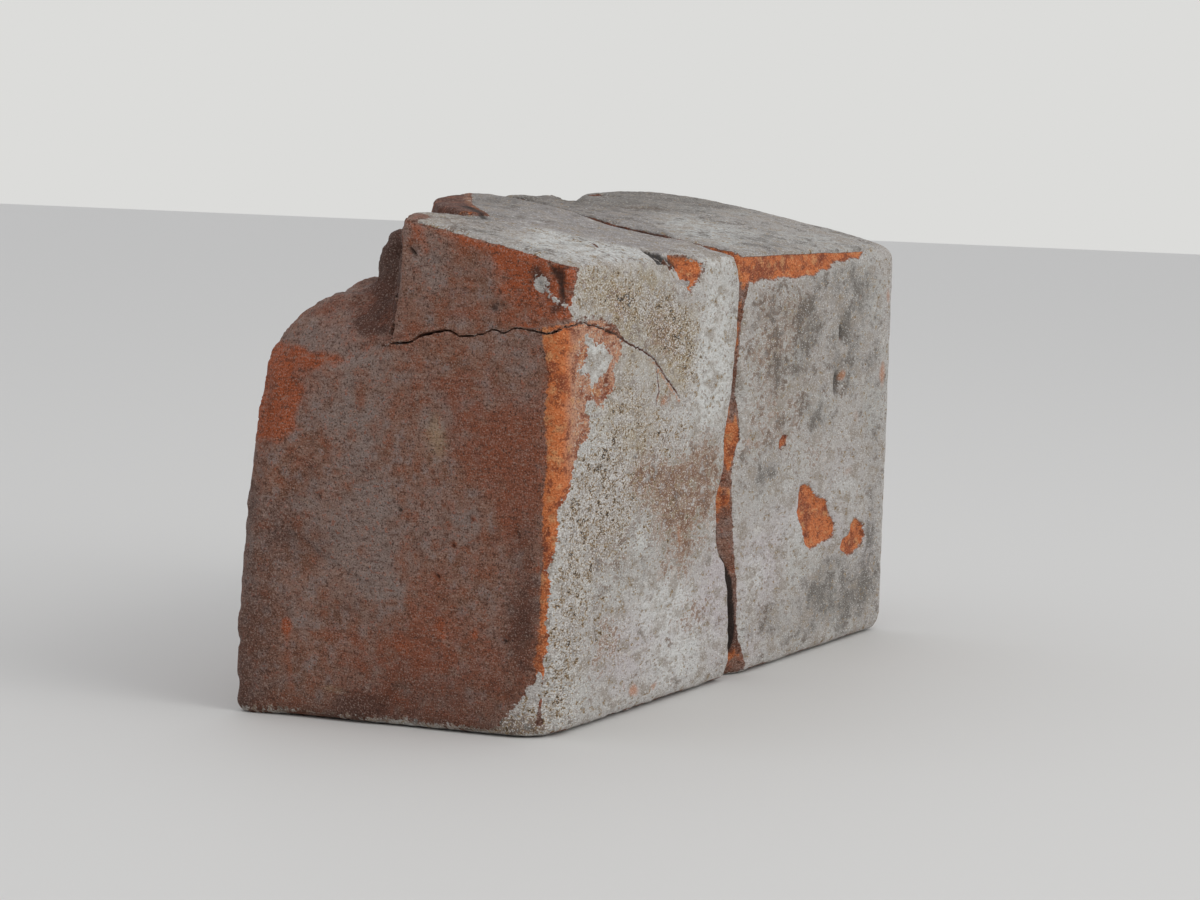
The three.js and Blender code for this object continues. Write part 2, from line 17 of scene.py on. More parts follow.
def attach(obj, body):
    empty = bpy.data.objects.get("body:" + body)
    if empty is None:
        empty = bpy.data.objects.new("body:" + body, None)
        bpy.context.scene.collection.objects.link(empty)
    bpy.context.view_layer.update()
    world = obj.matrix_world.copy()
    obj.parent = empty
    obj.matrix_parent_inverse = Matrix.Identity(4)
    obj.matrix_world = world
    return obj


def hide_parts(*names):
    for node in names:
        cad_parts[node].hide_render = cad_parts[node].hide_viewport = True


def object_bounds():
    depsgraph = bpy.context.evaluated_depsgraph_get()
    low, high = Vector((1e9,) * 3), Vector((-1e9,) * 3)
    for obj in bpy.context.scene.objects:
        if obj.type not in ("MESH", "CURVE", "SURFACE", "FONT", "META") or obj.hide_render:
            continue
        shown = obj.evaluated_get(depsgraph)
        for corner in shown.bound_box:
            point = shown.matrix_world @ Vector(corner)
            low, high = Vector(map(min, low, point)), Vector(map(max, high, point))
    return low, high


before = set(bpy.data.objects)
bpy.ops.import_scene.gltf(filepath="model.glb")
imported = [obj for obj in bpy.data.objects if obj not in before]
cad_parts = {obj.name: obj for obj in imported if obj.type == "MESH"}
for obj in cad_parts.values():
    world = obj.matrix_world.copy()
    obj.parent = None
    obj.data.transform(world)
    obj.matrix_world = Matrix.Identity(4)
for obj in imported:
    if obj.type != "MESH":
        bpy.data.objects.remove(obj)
bpy.context.view_layer.update()
cad_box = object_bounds()

# ---- the brick's own sizes, in millimetres ---------------------------------------------------

MM = 0.001
THICKNESS = 76
HEIGHT = 116
TOP_FALL = 12.7  # the top lies this much lower along the limed bed face
TOP_CROWN = 1.7
BED_LEAN = 2.4  # the limed bed face leans out this much at the header's upper corner
FRONT_LENGTH = 113

BOX_LOW, BOX_HIGH = (np.array(corner) / MM for corner in cad_box)
BARE_FACE, NEAR_HEADER = BOX_LOW[:2]
LIMED_FACE = BARE_FACE + THICKNESS
FAR_HEADER = BOX_HIGH[1]

NET = 0.86  # size of the mesh's faces
FINE_NET = 0.45  # size of the net in which slits are closed
SLIT_REACH = 0.62  # slits narrower than twice this are closed before the cracks are cut afresh
SKIN = (8, 3)  # a face's own points lie within 3 mm of its plane, and none of them beyond 8 mm
OUTSIDE = -9  # stands for "millimetres inside a coat's edge" where there is none of that coat
CELL_MIX = np.array([73856093, 19349663, 83492791])  # large odd numbers, one for each axis


# ---- helpers ---------------------------------------------------------------------------------


def ease(value, start, end):
    """0 up to start, 1 from end on and smooth between. Start may be the larger of the two."""
    share = np.clip((value - start) / (end - start), 0, 1)
    return share * share * (3 - 2 * share)


def codes(cell, seed):
    """A well mixed whole number for each cell of a grid, the same in each run."""
    code = cell @ CELL_MIX + seed * 26544357
    code = (code ^ (code >> 13)) * 1274126177 & 0xFFFFFFFF
    return (code ^ (code >> 16)) * 73244475 & 0xFFFFFFFF


def three_shares(code):
    """Three numbers from 0 to 1 out of each code."""
    return np.stack([code & 255, code >> 8 & 255, code >> 16 & 255], 1) / 255


def lumps(points, size, seed):
    """Smooth noise of about -1 to 1 over the points, with lumps of that size in millimetres."""
    place = points / size
    cell = np.floor(place).astype(np.int64)
    part = place - cell
    fade = part**3 * (part * (part * 6 - 15) + 10)
    total = np.zeros(len(points))
    for corner in product((0, 1), repeat=3):
        slope = 2 * three_shares(codes(cell + corner, seed)) - 1
        weight = np.where(corner, fade, 1 - fade).prod(1)
        total += weight * ((part - corner) * slope).sum(1)
    return np.clip(total * 1.5, -1, 1)


def rough(points, size, seed, layers=3):
    """Noise in several sizes, each half as large and half as strong as the one before."""
    total = sum(lumps(points, size / 2**k, seed + k) / 2**k for k in range(layers))
    return total / (2 - 0.5 ** (layers - 1))


def crumbs(points, spacing, seed):
    """Distance in millimetres to the nearest of many scattered points, and that point's chance."""
    place = points / spacing
    cell = np.floor(place).astype(np.int64)
    nearest = np.full(len(points), 9.0)
    chance = np.zeros(len(points))
    for step in product((-1, 0, 1), repeat=3):
        code = codes(cell + step, seed)
        spot = cell + step + three_shares(code)
        far = np.linalg.norm(place - spot, axis=1)
        closer = far < nearest
        nearest = np.where(closer, far, nearest)
        chance = np.where(closer, (code >> 24 & 255) / 255, chance)
    return nearest * spacing, chance


def beside(line, across, up, closed=False):
    """Millimetres from an open or closed line drawn on a face."""
    ends = line[1:] + line[:1] if closed else line[1:]
    nearest = np.full(across.shape, np.inf)
    for (a, b), (c, d) in zip(line, ends):
        share = ((across - a) * (c - a) + (up - b) * (d - b)) / ((c - a) ** 2 + (d - b) ** 2)
        share = np.clip(share, 0, 1)
        nearest = np.minimum(nearest, np.hypot(across - a - share * (c - a), up - b - share * (d - b)))
    return nearest


def within(outline, across, up):
    """Millimetres inside a closed outline drawn on a face, and negative outside it."""
    inside = np.zeros(across.shape, bool)
    for (a, b), (c, d) in zip(outline, outline[1:] + outline[:1]):
        if b != d:
            inside ^= ((b > up) != (d > up)) & (across < (c - a) * (up - b) / (d - b) + a)
    return np.where(inside, 1, -1) * beside(outline, across, up, closed=True)


def patch(across, up, middle, size, turn=0.0):
    """1 in the middle of a soft oval patch and 0 well outside it."""
    c, s = np.cos(np.radians(turn)), np.sin(np.radians(turn))
    a, b = across - middle[0], up - middle[1]
    return np.exp(-(((a * c + b * s) / size[0]) ** 2) - (((b * c - a * s) / size[1]) ** 2))


def read_off(table, place, column=1):
    """A column of a table, read off at places in its first column and evenly between them."""
    rows = np.array(table)
    return np.interp(place, rows[:, 0], rows[:, column])


def top_height(x):
    """How high the sound top lies: it curves down towards the limed bed face."""
    return HEIGHT - TOP_FALL * np.maximum(0, (x - BARE_FACE) / THICKNESS) ** TOP_CROWN


def bed_lean(y, z):
    """How far the limed bed face leans out: most at the header's upper corner."""
    return BED_LEAN * (1 - ease(y, NEAR_HEADER, NEAR_HEADER + FRONT_LENGTH)) * z / (HEIGHT - TOP_FALL)


# ---- what lies where on the faces ------------------------------------------------------------
# Round the sides, places are (run, height): run is measured along the limed bed face from the
# near upright arris, and is negative on the header. On the top, places are (x, y).

LIME_COAT = [
    (5, 104), (5, 101), (2.4, 95), (1.6, 92), (3, 90.3), (12, 90.8), (22, 89.9), (30, 88),
    (32.4, 82.6), (29, 80), (26, 79), (29.3, 77.4), (29, 75.2), (26.3, 73.6), (23, 71.8),
    (19.5, 71.7), (16.9, 73.6), (12.5, 72.5), (12.3, 70), (15.3, 68.5), (16.3, 65.8), (13.6, 64.7),
    (10.3, 64), (8.8, 61), (6.9, 56.4), (6.2, 53.5), (2.4, 52.3), (0.9, 49.8), (1.9, 44.5),
    (0, 39.5), (-1.6, 37.6), (-0.6, 32.7), (-0.9, 26.7), (0.2, 21.4), (-0.5, 18), (-0.9, 15.2),
    (-4, 12), (-5.6, 9), (-9.7, 4.7), (-12.2, 1.6), (-14, -6), (262, -6), (262, 126), (5, 126),
]
LIME_ISLAND = [
    (11.5, 88.2), (14, 86.3), (17.6, 85.3), (23.6, 84.2), (27, 81.5), (24.4, 78.5), (18.8, 76.6),
    (15.4, 76), (12.8, 78.6), (7.1, 79.3), (8.1, 80.5), (11.9, 81.2), (12, 84.7), (9.9, 87.4),
]
WORN_ARRIS = [
    (-5.9, 89), (-5.7, 85.7), (-4, 79), (-4.5, 69.5), (-3.1, 62), (-3.6, 53), (-3.2, 43),
    (-2.9, 39.5), (-3.1, 31), (-2.7, 25), (-3.4, 17.4), (-2, 12.6), (8, 14), (10, 40), (30, 60),
    (40, 84), (20, 90.5), (3, 90.3),
]
CHIPPED_ARRIS = [
    (110, 106), (110.4, 99.7), (113, 96.8), (119.7, 95.7), (126, 96.9), (133, 96.2), (140, 96.9),
    (149.6, 96.3), (157, 97.1), (163, 96.6), (168, 98.2), (173, 98), (178, 99.9), (186, 99.9),
    (191, 100.8), (197, 100.3), (201.5, 102.6), (201, 106),
]
FLAKES = [
    [
        (157.5, 43.5), (162, 43.9), (165.9, 42.9), (170, 40.2), (177.8, 38.9), (180.6, 35.3),
        (185.7, 31.2), (184.4, 28.5), (177.5, 27.8), (167.6, 26.8), (162.9, 28.3), (161, 31.8),
        (156, 37.3),
    ],
    [
        (202.4, 32.2), (208.4, 29.6), (210.4, 26.5), (205.8, 24), (197.1, 22.4), (190.4, 24.8),
        (191, 26.9), (197.2, 27.9), (198.6, 30.4),
    ],
    [(144.2, 57.7), (147.2, 56.8), (146, 54.9), (141.7, 54.1), (141, 56)],
]
LIMED_CHIP = [
    (64.5, 103.6), (71.4, 103.1), (77.5, 102.8), (81, 102.2), (84.2, 101.2), (84, 99.7),
    (82.2, 98.1), (78.9, 96.5), (75.8, 94.9), (73.8, 96), (71.8, 98), (70, 99.6), (65, 101.4),
]
# x, y of the slot that leads into the chip, painted black as the shade in it
SLOT_ON_TOP = [
    (30.6, -55), (33.2, -51), (35.4, -51), (38.5, -53), (38.5, -60), (36.3, -62), (34, -60),
]
SLOT_FLOOR = (101.2, 102.2)  # the slot is cut above these heights
# lines of painted shade below the slot and over the chip
SLOT_BELOW = [(59, 102.6), (63, 102.2), (66.5, 101.4), (70.5, 100.6)]
LINE_OVER_CHIP = [(66, 102.4), (78, 102.4)]
# up the break: height, run of each half's edge on the limed bed face
FRONT_EDGE = [
    (0, 114.9), (5, 114.7), (15, 112.8), (24, 110.3), (31, 105.9), (38, 101), (45, 101.5),
    (52, 104.3), (59, 103.8), (69, 107.4), (81, 110.6), (93, 112.1), (102, 113.8), (110, 114),
]
REAR_EDGE = [
    (0, 122), (2.8, 122.3), (5.5, 120.5), (8.9, 117.3), (15.3, 115), (24, 114.1), (27.2, 112.6),
    (33.9, 111.2), (40.1, 110.2), (46.3, 108.2), (50.5, 108.1), (54.6, 110.6), (58, 113.4),
    (65.3, 112.6), (69.7, 111), (77.2, 109.8), (84.4, 111.6), (91.7, 113.2), (96.7, 116),
]
# how far the front half's rim at the break stands out along the brick, by height
RIM_PULL = [
    (0, 0), (6, -0.6), (10, 0.2), (16, 1.3), (22, 1.8), (25, 0.6), (28.6, 0.9), (31, -1.9),
    (35, -2), (39, -1.1), (46, -0.5), (50, 1), (53, 1), (57, -0.6), (59, -1.2), (66, -1),
    (69, -0.2), (74, 1), (77.5, 2), (84.7, 1.2), (92, 1.7), (99, 3.2), (106, 2),
]
# up the break: height, how orange its face is, how dark it is painted as the shade in the gap, and how wide
# the gap is
BREAK_IN_VIEW = [
    (0, 0.3, 0.7, 0), (5, 0.6, 0.35, 0.5), (10, 0.1, 0.9, 2), (15, 0.25, 0.6, 2),
    (20, 0.15, 0.6, 1.6), (25, 0.15, 0.6, 2), (28, 0.1, 0.1, 1.2), (33, 0.2, 0.4, 0),
    (38, 0.4, 0.4, 0), (45, 0.6, 0.15, 0), (50, 0.45, 0, 0), (54, 0.6, 0.4, 0.9),
    (57, 0.95, 0.35, 0.8), (62, 0.6, 0.3, 2.2), (69, 0.35, 0.4, 1.8), (74, 0.35, 0.3, 0.5),
    (84, 0.5, 0.3, 0.5), (92, 0.5, 0.25, 0.5), (99, 0.7, 0.1, 0.3), (104, 0.8, 0, 0),
]
CAVITY = [
    (-5, 103.2), (-3.3, 102.5), (-1, 101.3), (0.3, 99.4), (0.7, 96.9), (0.4, 95.2), (-1.1, 95.8),
    (-2.6, 97.8), (-4, 99.9), (-5, 101.5),
]
LIME_RING = [(-7.9, 98.2), (-7.4, 99.2), (-6.4, 99.3), (-5.8, 98.6), (-6.1, 97.6), (-7.1, 97.4)]
MIDDLE_OF_RING = (-6.9, 98.4)
RING_TAIL = [(-5.7, 97.3), (-4.6, 95.9), (-3.1, 95.1), (-1.6, 94.4), (-0.2, 93.7)]
SHOULDER_GLOW = [
    (-84, 84), (-68, 84), (-62, 82.6), (-57, 81.2), (-53, 80.6), (-52, 79), (-57, 77.5), (-61, 76),
    (-62.5, 70), (-63.5, 64), (-66, 61), (-70, 60), (-84, 60),
]
# across the rear half's top, askew to it: place, how deep the notch in its rim is
NOTCH_IN_RIM = [(-15.5, 0), (-12.5, 1.1), (-10.5, 1.6), (-8.4, 2.0), (-7.3, 0.9), (-6.2, 0)]
NOTCH_LINE_ON_TOP = [(-5, -72), (-1, -76), (3, -81.5)]
# on the top, the slope down to the lost shoulder
LOST_RIM = [
    (-22.8, -30), (-21.6, -34), (-14.6, -49.5), (-8.2, -62.8), (-2.4, -71), (3, -77.6), (3, -83.5),
    (-30, -90), (-44, -30),
]
# across the front half's top, askew to it: place, how much higher the slope stands
SLOPE_OF_RIM = [(-46, -1.2), (-43.6, -0.9), (-42, 0), (-40.5, 0.5), (-38.5, 0.9), (-35, 1.1)]
BREAK_ON_TOP = [
    (-30, -8), (-24, -9), (-17, -10.5), (-11, -13.4), (-5, -17.5), (-2, -20), (4, -21.8),
    (10, -20), (16, -17.2), (22, -13.8), (28, -9.5), (34, -7),
]
# along the gap across the top: x, how far the front half is worn down, how dark the painted shade in the
# gap is
STEP_ON_TOP = [
    (-30, 0.15, 0.1), (-4, 0.2, 0.3), (4, 0.4, 0.4), (9, 0.75, 0.8), (20, 0.75, 1.0),
    (24, 0.3, 0.3), (29, 0.3, 0.2), (32, 0.8, 1.0), (38, 0.8, 0.6),
]
# x, height on the header
CRACK_ON_HEADER = [
    (-6.2, 84.6), (-5, 84.3), (-2.7, 83.7), (1.6, 84.4), (4.9, 86.2), (9.9, 87.3), (13.3, 86.3),
    (16.6, 86.4), (20.8, 87.9), (23.2, 87.4), (27.9, 88.6), (31.5, 87.9), (35.2, 87.7), (37.6, 88.7),
]
# run, height on the bed face
CRACK_ON_BED = [
    (3.5, 89.6), (8.6, 89.9), (17.3, 88.9), (24.1, 87.8), (30.2, 86.3), (37.6, 84.2), (46.4, 82.1),
    (53.7, 80.1), (56.8, 78.2), (60.1, 76.4), (64.2, 74.1), (68.5, 72.1), (70.9, 70.6),
]
FORK_ON_BED = [(53.7, 80.6), (55, 77.6), (56.2, 74.8), (57.4, 72.7), (55.9, 70.7), (55.8, 69.7)]
RECESS_BY_CORNER = [(-36.6, 94), (-38.6, 91.2), (-42, 88.6), (-44.6, 86.4)]
CREVICE_BY_CORNER = [(-36.6, 93), (-38.4, 90.8), (-41.4, 88.6)]
EMBER_STREAK = [(-64, 21.5), (-63.4, 14), (-61.6, 6)]
GREY_DRIFT = [(-60, 49), (-50, 43), (-43, 36), (-38.6, 29)]
PALE_SCRATCH = [(-67.5, 42.5), (-60, 39.5), (-52, 35.2), (-47.5, 33)]
MOULD_LINES = [
    [(-67.5, 41.6), (-60, 38.7), (-49, 32.8), (-42.5, 29)],
    [(-56, 25.4), (-47, 24.2), (-38, 21.6), (-27, 18.6)],
    [(-44, 15.5), (-36, 14.2), (-28, 14)],
]
FOOT_SCRATCH = [(-41, 2.4), (-39.6, 4.6), (-38, 6.8), (-35.6, 9)]
DARK_SCORES = [
    [(21.5, 57.4), (24.3, 58), (25.6, 55), (25, 52)],
    [(51.4, 34.8), (54, 32), (53, 28.9)],
    [(25, 22.8), (26.6, 20.4), (27.4, 18.6)],
    [(8.4, 19), (10, 13.6), (9.4, 9.4)],
    [(13.4, 20), (14.6, 16.2)],
    [(5.6, 15.4), (4.4, 10.6)],
    [(12.4, 27.4), (11.4, 23.2)],
]
# run, height and size
PINHOLES = [
    (-38, 104.4, 0.9), (-37.2, 103.6, 0.7), (-17.6, 92.8, 1.2), (-15.6, 93.6, 0.8),
    (-9.8, 98.4, 0.7), (-21.8, 98.8, 0.6), (-57.6, 49.4, 0.8), (-37.4, 47.6, 0.7),
    (-20.6, 47, 0.8), (-24.4, 41, 0.9), (-11, 21, 0.9), (-9, 44, 0.7), (-44, 62, 0.5),
    (-31, 37, 0.6), (-27.6, 34, 0.5),
]
# run, height, width and how tall
SLOTS = [(184.6, 68.2, 5.4, 8), (187, 81.4, 5, 6), (24.8, 75.6, 1.9, 3)]

# Soft patches of tint: strength, middle, half sizes and, where it is turned, the turn in degrees.
# Those on the header and the bed face are (run, height), those on the top (x, y).

HEADER_RUST = [
    (0.8, -13, 62, 8, 13), (0.7, -27, 75, 8, 5), (0.6, -21, 61, 6, 6), (0.5, -12, 46, 6, 7),
    (0.6, -27, 22, 13, 7, -14), (0.5, -36, 12, 10, 8), (0.65, -28, 31, 5, 6), (0.5, -62, 74, 4, 9),
    (0.6, -36, 71.5, 2.6, 3), (0.55, -20, 36, 5, 4), (0.35, -52, 16, 8, 9), (0.4, -63, 54, 3, 7),
    (0.4, -38, 92, 3, 5), (0.35, -29, 96, 6, 6), (0.8, -43, 4.5, 5, 2.6), (0.7, -37, 7, 3, 3, 40),
    (0.5, -22, 91.5, 10, 2.6), (0.4, -14, 12, 9, 8), (0.4, -32, 86, 8, 1.6), (0.6, -54, 85, 12, 4),
    (0.5, -7, 68, 5, 22), (0.45, -30, 14, 20, 9), (0.5, -6, 22, 5, 14), (0.4, -24, 67, 4, 6),
    (0.35, -40, 84, 8, 4), (0.6, -28, 4, 14, 3), (0.3, -13, 64, 9, 14), (0.4, -8, 60, 5, 8),
    (0.4, -8, 28, 4, 8),
]
HEADER_EMBER = [
    (1.1, -7, 104, 9, 4, -14), (1.0, -18, 105.5, 10, 3, -12), (0.8, -31, 109.8, 9, 1.4, -12),
    (0.8, -36.4, 108, 2, 4), (0.7, -34.5, 104.6, 1.1, 2), (0.8, -10, 97, 6, 6, -30),
    (0.5, -15, 100.4, 5, 3), (0.6, -12, 90, 6, 2), (0.45, -26, 91.4, 8, 1.4),
    (0.5, -27, 24.5, 3, 2.4, -30), (0.5, -19, 22, 1.6, 1.5), (0.4, -35, 18, 2.4, 1.6),
    (0.4, -13, 30, 2, 5), (0.5, -28, 14, 12, 6, -8), (0.4, -66, 84, 5, 3),
    (0.6, -6, 97, 8, 7, -30), (0.35, -15, 61, 4, 5), (0.35, -9, 55, 2, 6),
    (0.45, -26, 4.6, 11, 2.2, -4), (0.6, -60, 91, 5, 4),
]
HEADER_DOTS = [
    (0.9, -63.8, 20.2, 1.4, 1.4), (0.9, -20, 47, 0.9, 0.9), (0.9, -24.4, 41, 1, 0.9),
    (0.7, -18, 22, 0.8, 1.4), (0.7, -25.7, 21.3, 1.4, 1, -30), (0.6, -25, 49.5, 0.8, 2),
    (0.6, -36, 6.4, 1.1, 0.9), (0.5, -50, 49.8, 0.7, 0.7), (0.6, -33.5, 71.6, 0.9, 1.8),
    (0.5, -23.9, 72.9, 1.4, 0.9), (0.5, -48, 70, 0.8, 0.9), (0.5, -37, 57, 0.9, 0.8),
]
HEADER_ASH = [
    (0.9, -54, 67, 5, 15), (0.8, -46, 60, 6, 18), (0.9, -42, 45, 5, 8), (1.1, -41, 31, 4, 5),
    (0.9, -49, 38, 6, 8), (1.0, -21, 47, 4.5, 5.5), (0.9, -9.5, 77, 4, 7), (0.7, -45, 80, 8, 4),
    (0.75, -34, 99, 6, 9), (0.9, -40.5, 88, 2.4, 1.8), (0.4, -57, 28, 7, 6), (0.3, -34, 66, 4, 8),
    (0.5, -16, 32, 5, 4), (0.5, -72.5, 40, 1.8, 11), (0.4, -24, 84, 8, 2.4), (0.4, -62, 24, 8, 5),
]
HEADER_UMBER = [
    (0.85, -7, 25, 5, 12), (0.4, -8, 44, 4, 8), (0.6, -69, 22, 6, 15), (0.45, -67, 44, 5, 8),
    (0.6, -44, 4, 5, 3), (0.6, -18.5, 92.6, 2.6, 1.4), (0.5, -58, 39, 8, 5), (0.3, -30, 12, 20, 8),
    (0.4, -48, 25, 6, 4), (0.5, -6.4, 102.6, 1.6, 1.6), (0.35, -30, 103, 7, 2, -12),
    (0.4, -60, 54, 4, 6),
]
HEADER_BEIGE = [(0.65, -29.5, 64, 2.2, 5.5, 8), (0.25, -32, 63, 5, 7)]
BEIGE_SMEARS = [(0.8, -51.5, 7, 3.6, 0.9, -8), (0.5, -60.4, 48, 2.4, 0.7, -20)]
BED_SOOT = [
    (0.6, 128, 89, 7, 4), (0.8, 152, 88, 13, 6), (0.6, 158, 80, 8, 6), (0.5, 130, 76, 12, 6),
    (0.6, 170, 61, 13, 5), (0.6, 184, 95, 18, 4), (0.5, 150, 73, 14, 6), (0.5, 164, 61.5, 6, 2.6),
    (0.5, 144, 61, 6, 3), (0.5, 130, 49, 8, 3), (0.6, 188, 84, 8, 4), (0.5, 186, 72, 7, 7),
    (0.7, 172, 15, 10, 6), (0.9, 198, 10, 14, 7), (0.55, 186, 20, 18, 6), (0.4, 216, 40, 7, 26),
    (0.5, 200, 92, 14, 6), (0.45, 137, 13, 9, 4), (0.4, 23.5, 56, 2, 3), (0.3, 208, 60, 12, 12),
    (0.4, 150, 80, 44, 20), (0.35, 198, 86, 26, 14), (0.35, 130, 50, 16, 10),
    (0.45, 165, 9, 50, 8), (0.6, 214, 17, 12, 12), (0.45, 34, 36, 14, 8), (0.4, 204, 72, 20, 6),
    (0.3, 92, 54, 10, 9), (0.3, 48, 90, 16, 8), (0.25, 62, 46, 18, 9),
]
BED_STAIN = [
    (1.2, 68, 51, 13, 6, -4), (1.1, 50, 53, 10, 5), (1.0, 66, 43, 9, 6), (1.1, 88, 54, 12, 7),
    (0.9, 80, 42, 9, 6), (0.8, 93, 45, 8, 6), (0.4, 92, 36, 7, 3), (0.7, 30, 93, 7, 5),
    (0.5, 34, 38, 12, 7), (0.8, 78, 33, 6, 5), (0.6, 66, 32, 6, 4), (0.75, 58, 86, 13, 6, -14),
    (0.9, 60.5, 70.5, 4.5, 1.8), (0.6, 84, 19, 10, 4), (0.6, 32, 18, 9, 7), (0.4, 7, 99, 5, 5),
    (0.75, 150, 88, 11, 6), (0.6, 128, 90, 6, 4), (0.6, 130, 78, 12, 6), (0.45, 140, 62, 20, 8),
    (0.4, 145, 78, 32, 16), (0.4, 122, 56, 6, 5), (0.4, 136, 13, 8, 4), (0.4, 186, 67, 4, 4),
    (0.3, 170, 50, 12, 5),
]
BED_SPOTS = [
    (1, 50, 5, 3.4, 1.6, -10), (0.7, 62, 5, 3.4, 1), (0.5, 43, 7, 1.4, 1.2),
    (0.4, 56, 13.6, 4, 1.2), (0.6, 74, 39, 2, 3.4), (0.8, 219.6, 69.6, 3.2, 4),
    (0.6, 222, 90, 2.6, 3.4), (0.9, 187.4, 70, 1.8, 1.6), (0.6, 186.6, 80.2, 2.2, 1.2),
    (0.5, 198.8, 90.6, 2, 1.2), (0.45, 198.8, 59, 4, 3), (0.45, 194.5, 45, 7, 2),
    (0.4, 202, 38, 2, 4), (0.35, 209, 70, 3, 1.6), (0.5, 118.7, 57, 2.4, 1.6),
    (0.5, 31, 86, 2.4, 2), (0.8, 60.5, 70, 2, 1.4),
]
BED_GRIT = [
    (0.7, 12, 97, 10, 6), (1.0, 32, 94, 12, 6, -6), (1.0, 56, 90, 14, 7, -10),
    (1.0, 70, 84, 12, 6), (0.8, 76, 76, 8, 5), (0.7, 40, 70, 16, 9, -10), (0.6, 66, 62, 14, 5),
    (0.8, 24, 58, 14, 10), (0.7, 14, 38, 13, 18, -10), (0.6, 34, 46, 14, 10),
    (0.5, 62, 48, 22, 10), (0.8, 8, 12, 9, 14), (0.25, 34, 22, 14, 12), (0.3, 6, 48, 7, 24),
]
BED_MOSS = [
    (0.7, 20, 97, 18, 6), (0.8, 36, 93, 10, 7), (0.9, 64, 86, 16, 8, -8), (0.6, 72, 76, 10, 5),
    (0.8, 46, 62, 10, 6), (0.5, 28, 68, 12, 8), (0.5, 14, 36, 10, 18), (0.6, 75, 39, 4, 5),
    (0.5, 30, 84, 24, 16), (0.4, 60, 74, 22, 12), (0.6, 52, 99, 16, 5), (0.5, 77, 86, 7, 8),
    (0.5, 10, 98, 9, 6), (0.3, 205, 94, 8, 3),
]
BED_LILAC = [
    (0.9, 76, 16, 28, 14), (0.6, 40, 14, 20, 12), (0.8, 102, 24, 10, 18), (0.9, 132, 26, 20, 12),
    (0.6, 160, 38, 20, 6), (0.5, 186, 30, 14, 8), (0.4, 190, 48, 20, 8), (0.5, 126, 6, 16, 5),
    (0.6, 212, 24, 10, 12),
]
BED_WHITE = [
    (1.0, 93, 84, 12, 18), (0.8, 92, 70, 12, 8), (0.9, 68, 23, 24, 7), (0.9, 78, 10, 28, 7),
    (1.0, 49, 40, 4.4, 3.6), (0.6, 52, 56, 3, 2), (0.6, 36, 44, 4, 3), (0.5, 72, 66, 14, 3),
    (1.0, 18, 82, 9, 6), (0.6, 60, 44, 2, 3), (0.5, 160, 34, 18, 9), (0.4, 196, 40, 10, 6),
    (0.7, 126, 24, 12, 8), (0.7, 3, 60, 4, 20), (0.5, 1, 30, 2.4, 16), (0.6, 118, 8, 6, 6),
    (0.5, 10, 92.5, 5, 2), (0.6, 92, 102, 12, 2), (0.5, 26, 62, 6, 3), (0.5, 42, 66, 6, 2.4),
    (0.4, 196, 70, 10, 8),
]
REAR_TOP_LIME = [
    (1.3, 17, 20, 11, 24, 8), (0.7, 28, 66, 7, 34), (0.6, 30, 4, 8, 10),
]
REAR_TOP_SOOT = [
    (0.6, -27, 56, 8, 24, 6), (0.4, -27, 94, 8, 14), (0.5, -18, 30, 7, 14), (0.3, -10, 92, 8, 14),
    (0.45, -4, 44, 7, 14, -10), (0.3, 28, 36, 6, 30),
]
FRONT_TOP_LIME = [
    (2.2, 29, -88, 8, 17), (1.2, 20, -76, 8, 9), (0.9, 33, -64, 5, 10), (0.5, 32, -30, 6, 12),
]
FRONT_TOP_SOOT = [
    (0.5, 8, -92, 7, 18, 20), (0.4, 22, -70, 3, 10, 20), (0.4, -12, -40, 4, 14),
    (0.5, 22, -108, 14, 4),
]


def spread(spots, across, up):
    """Soft oval patches laid together: strength, middle, half sizes and, where it has one, turn."""
    return sum(strength * patch(across, up, (a, b), (c, d), *turn) for strength, a, b, c, d, *turn in spots)


def line_glow(line, across, up, reach):
    """1 on a line drawn on a face, fading to 0 over about the reach."""
    return np.exp(-((beside(line, across, up) / reach) ** 2))


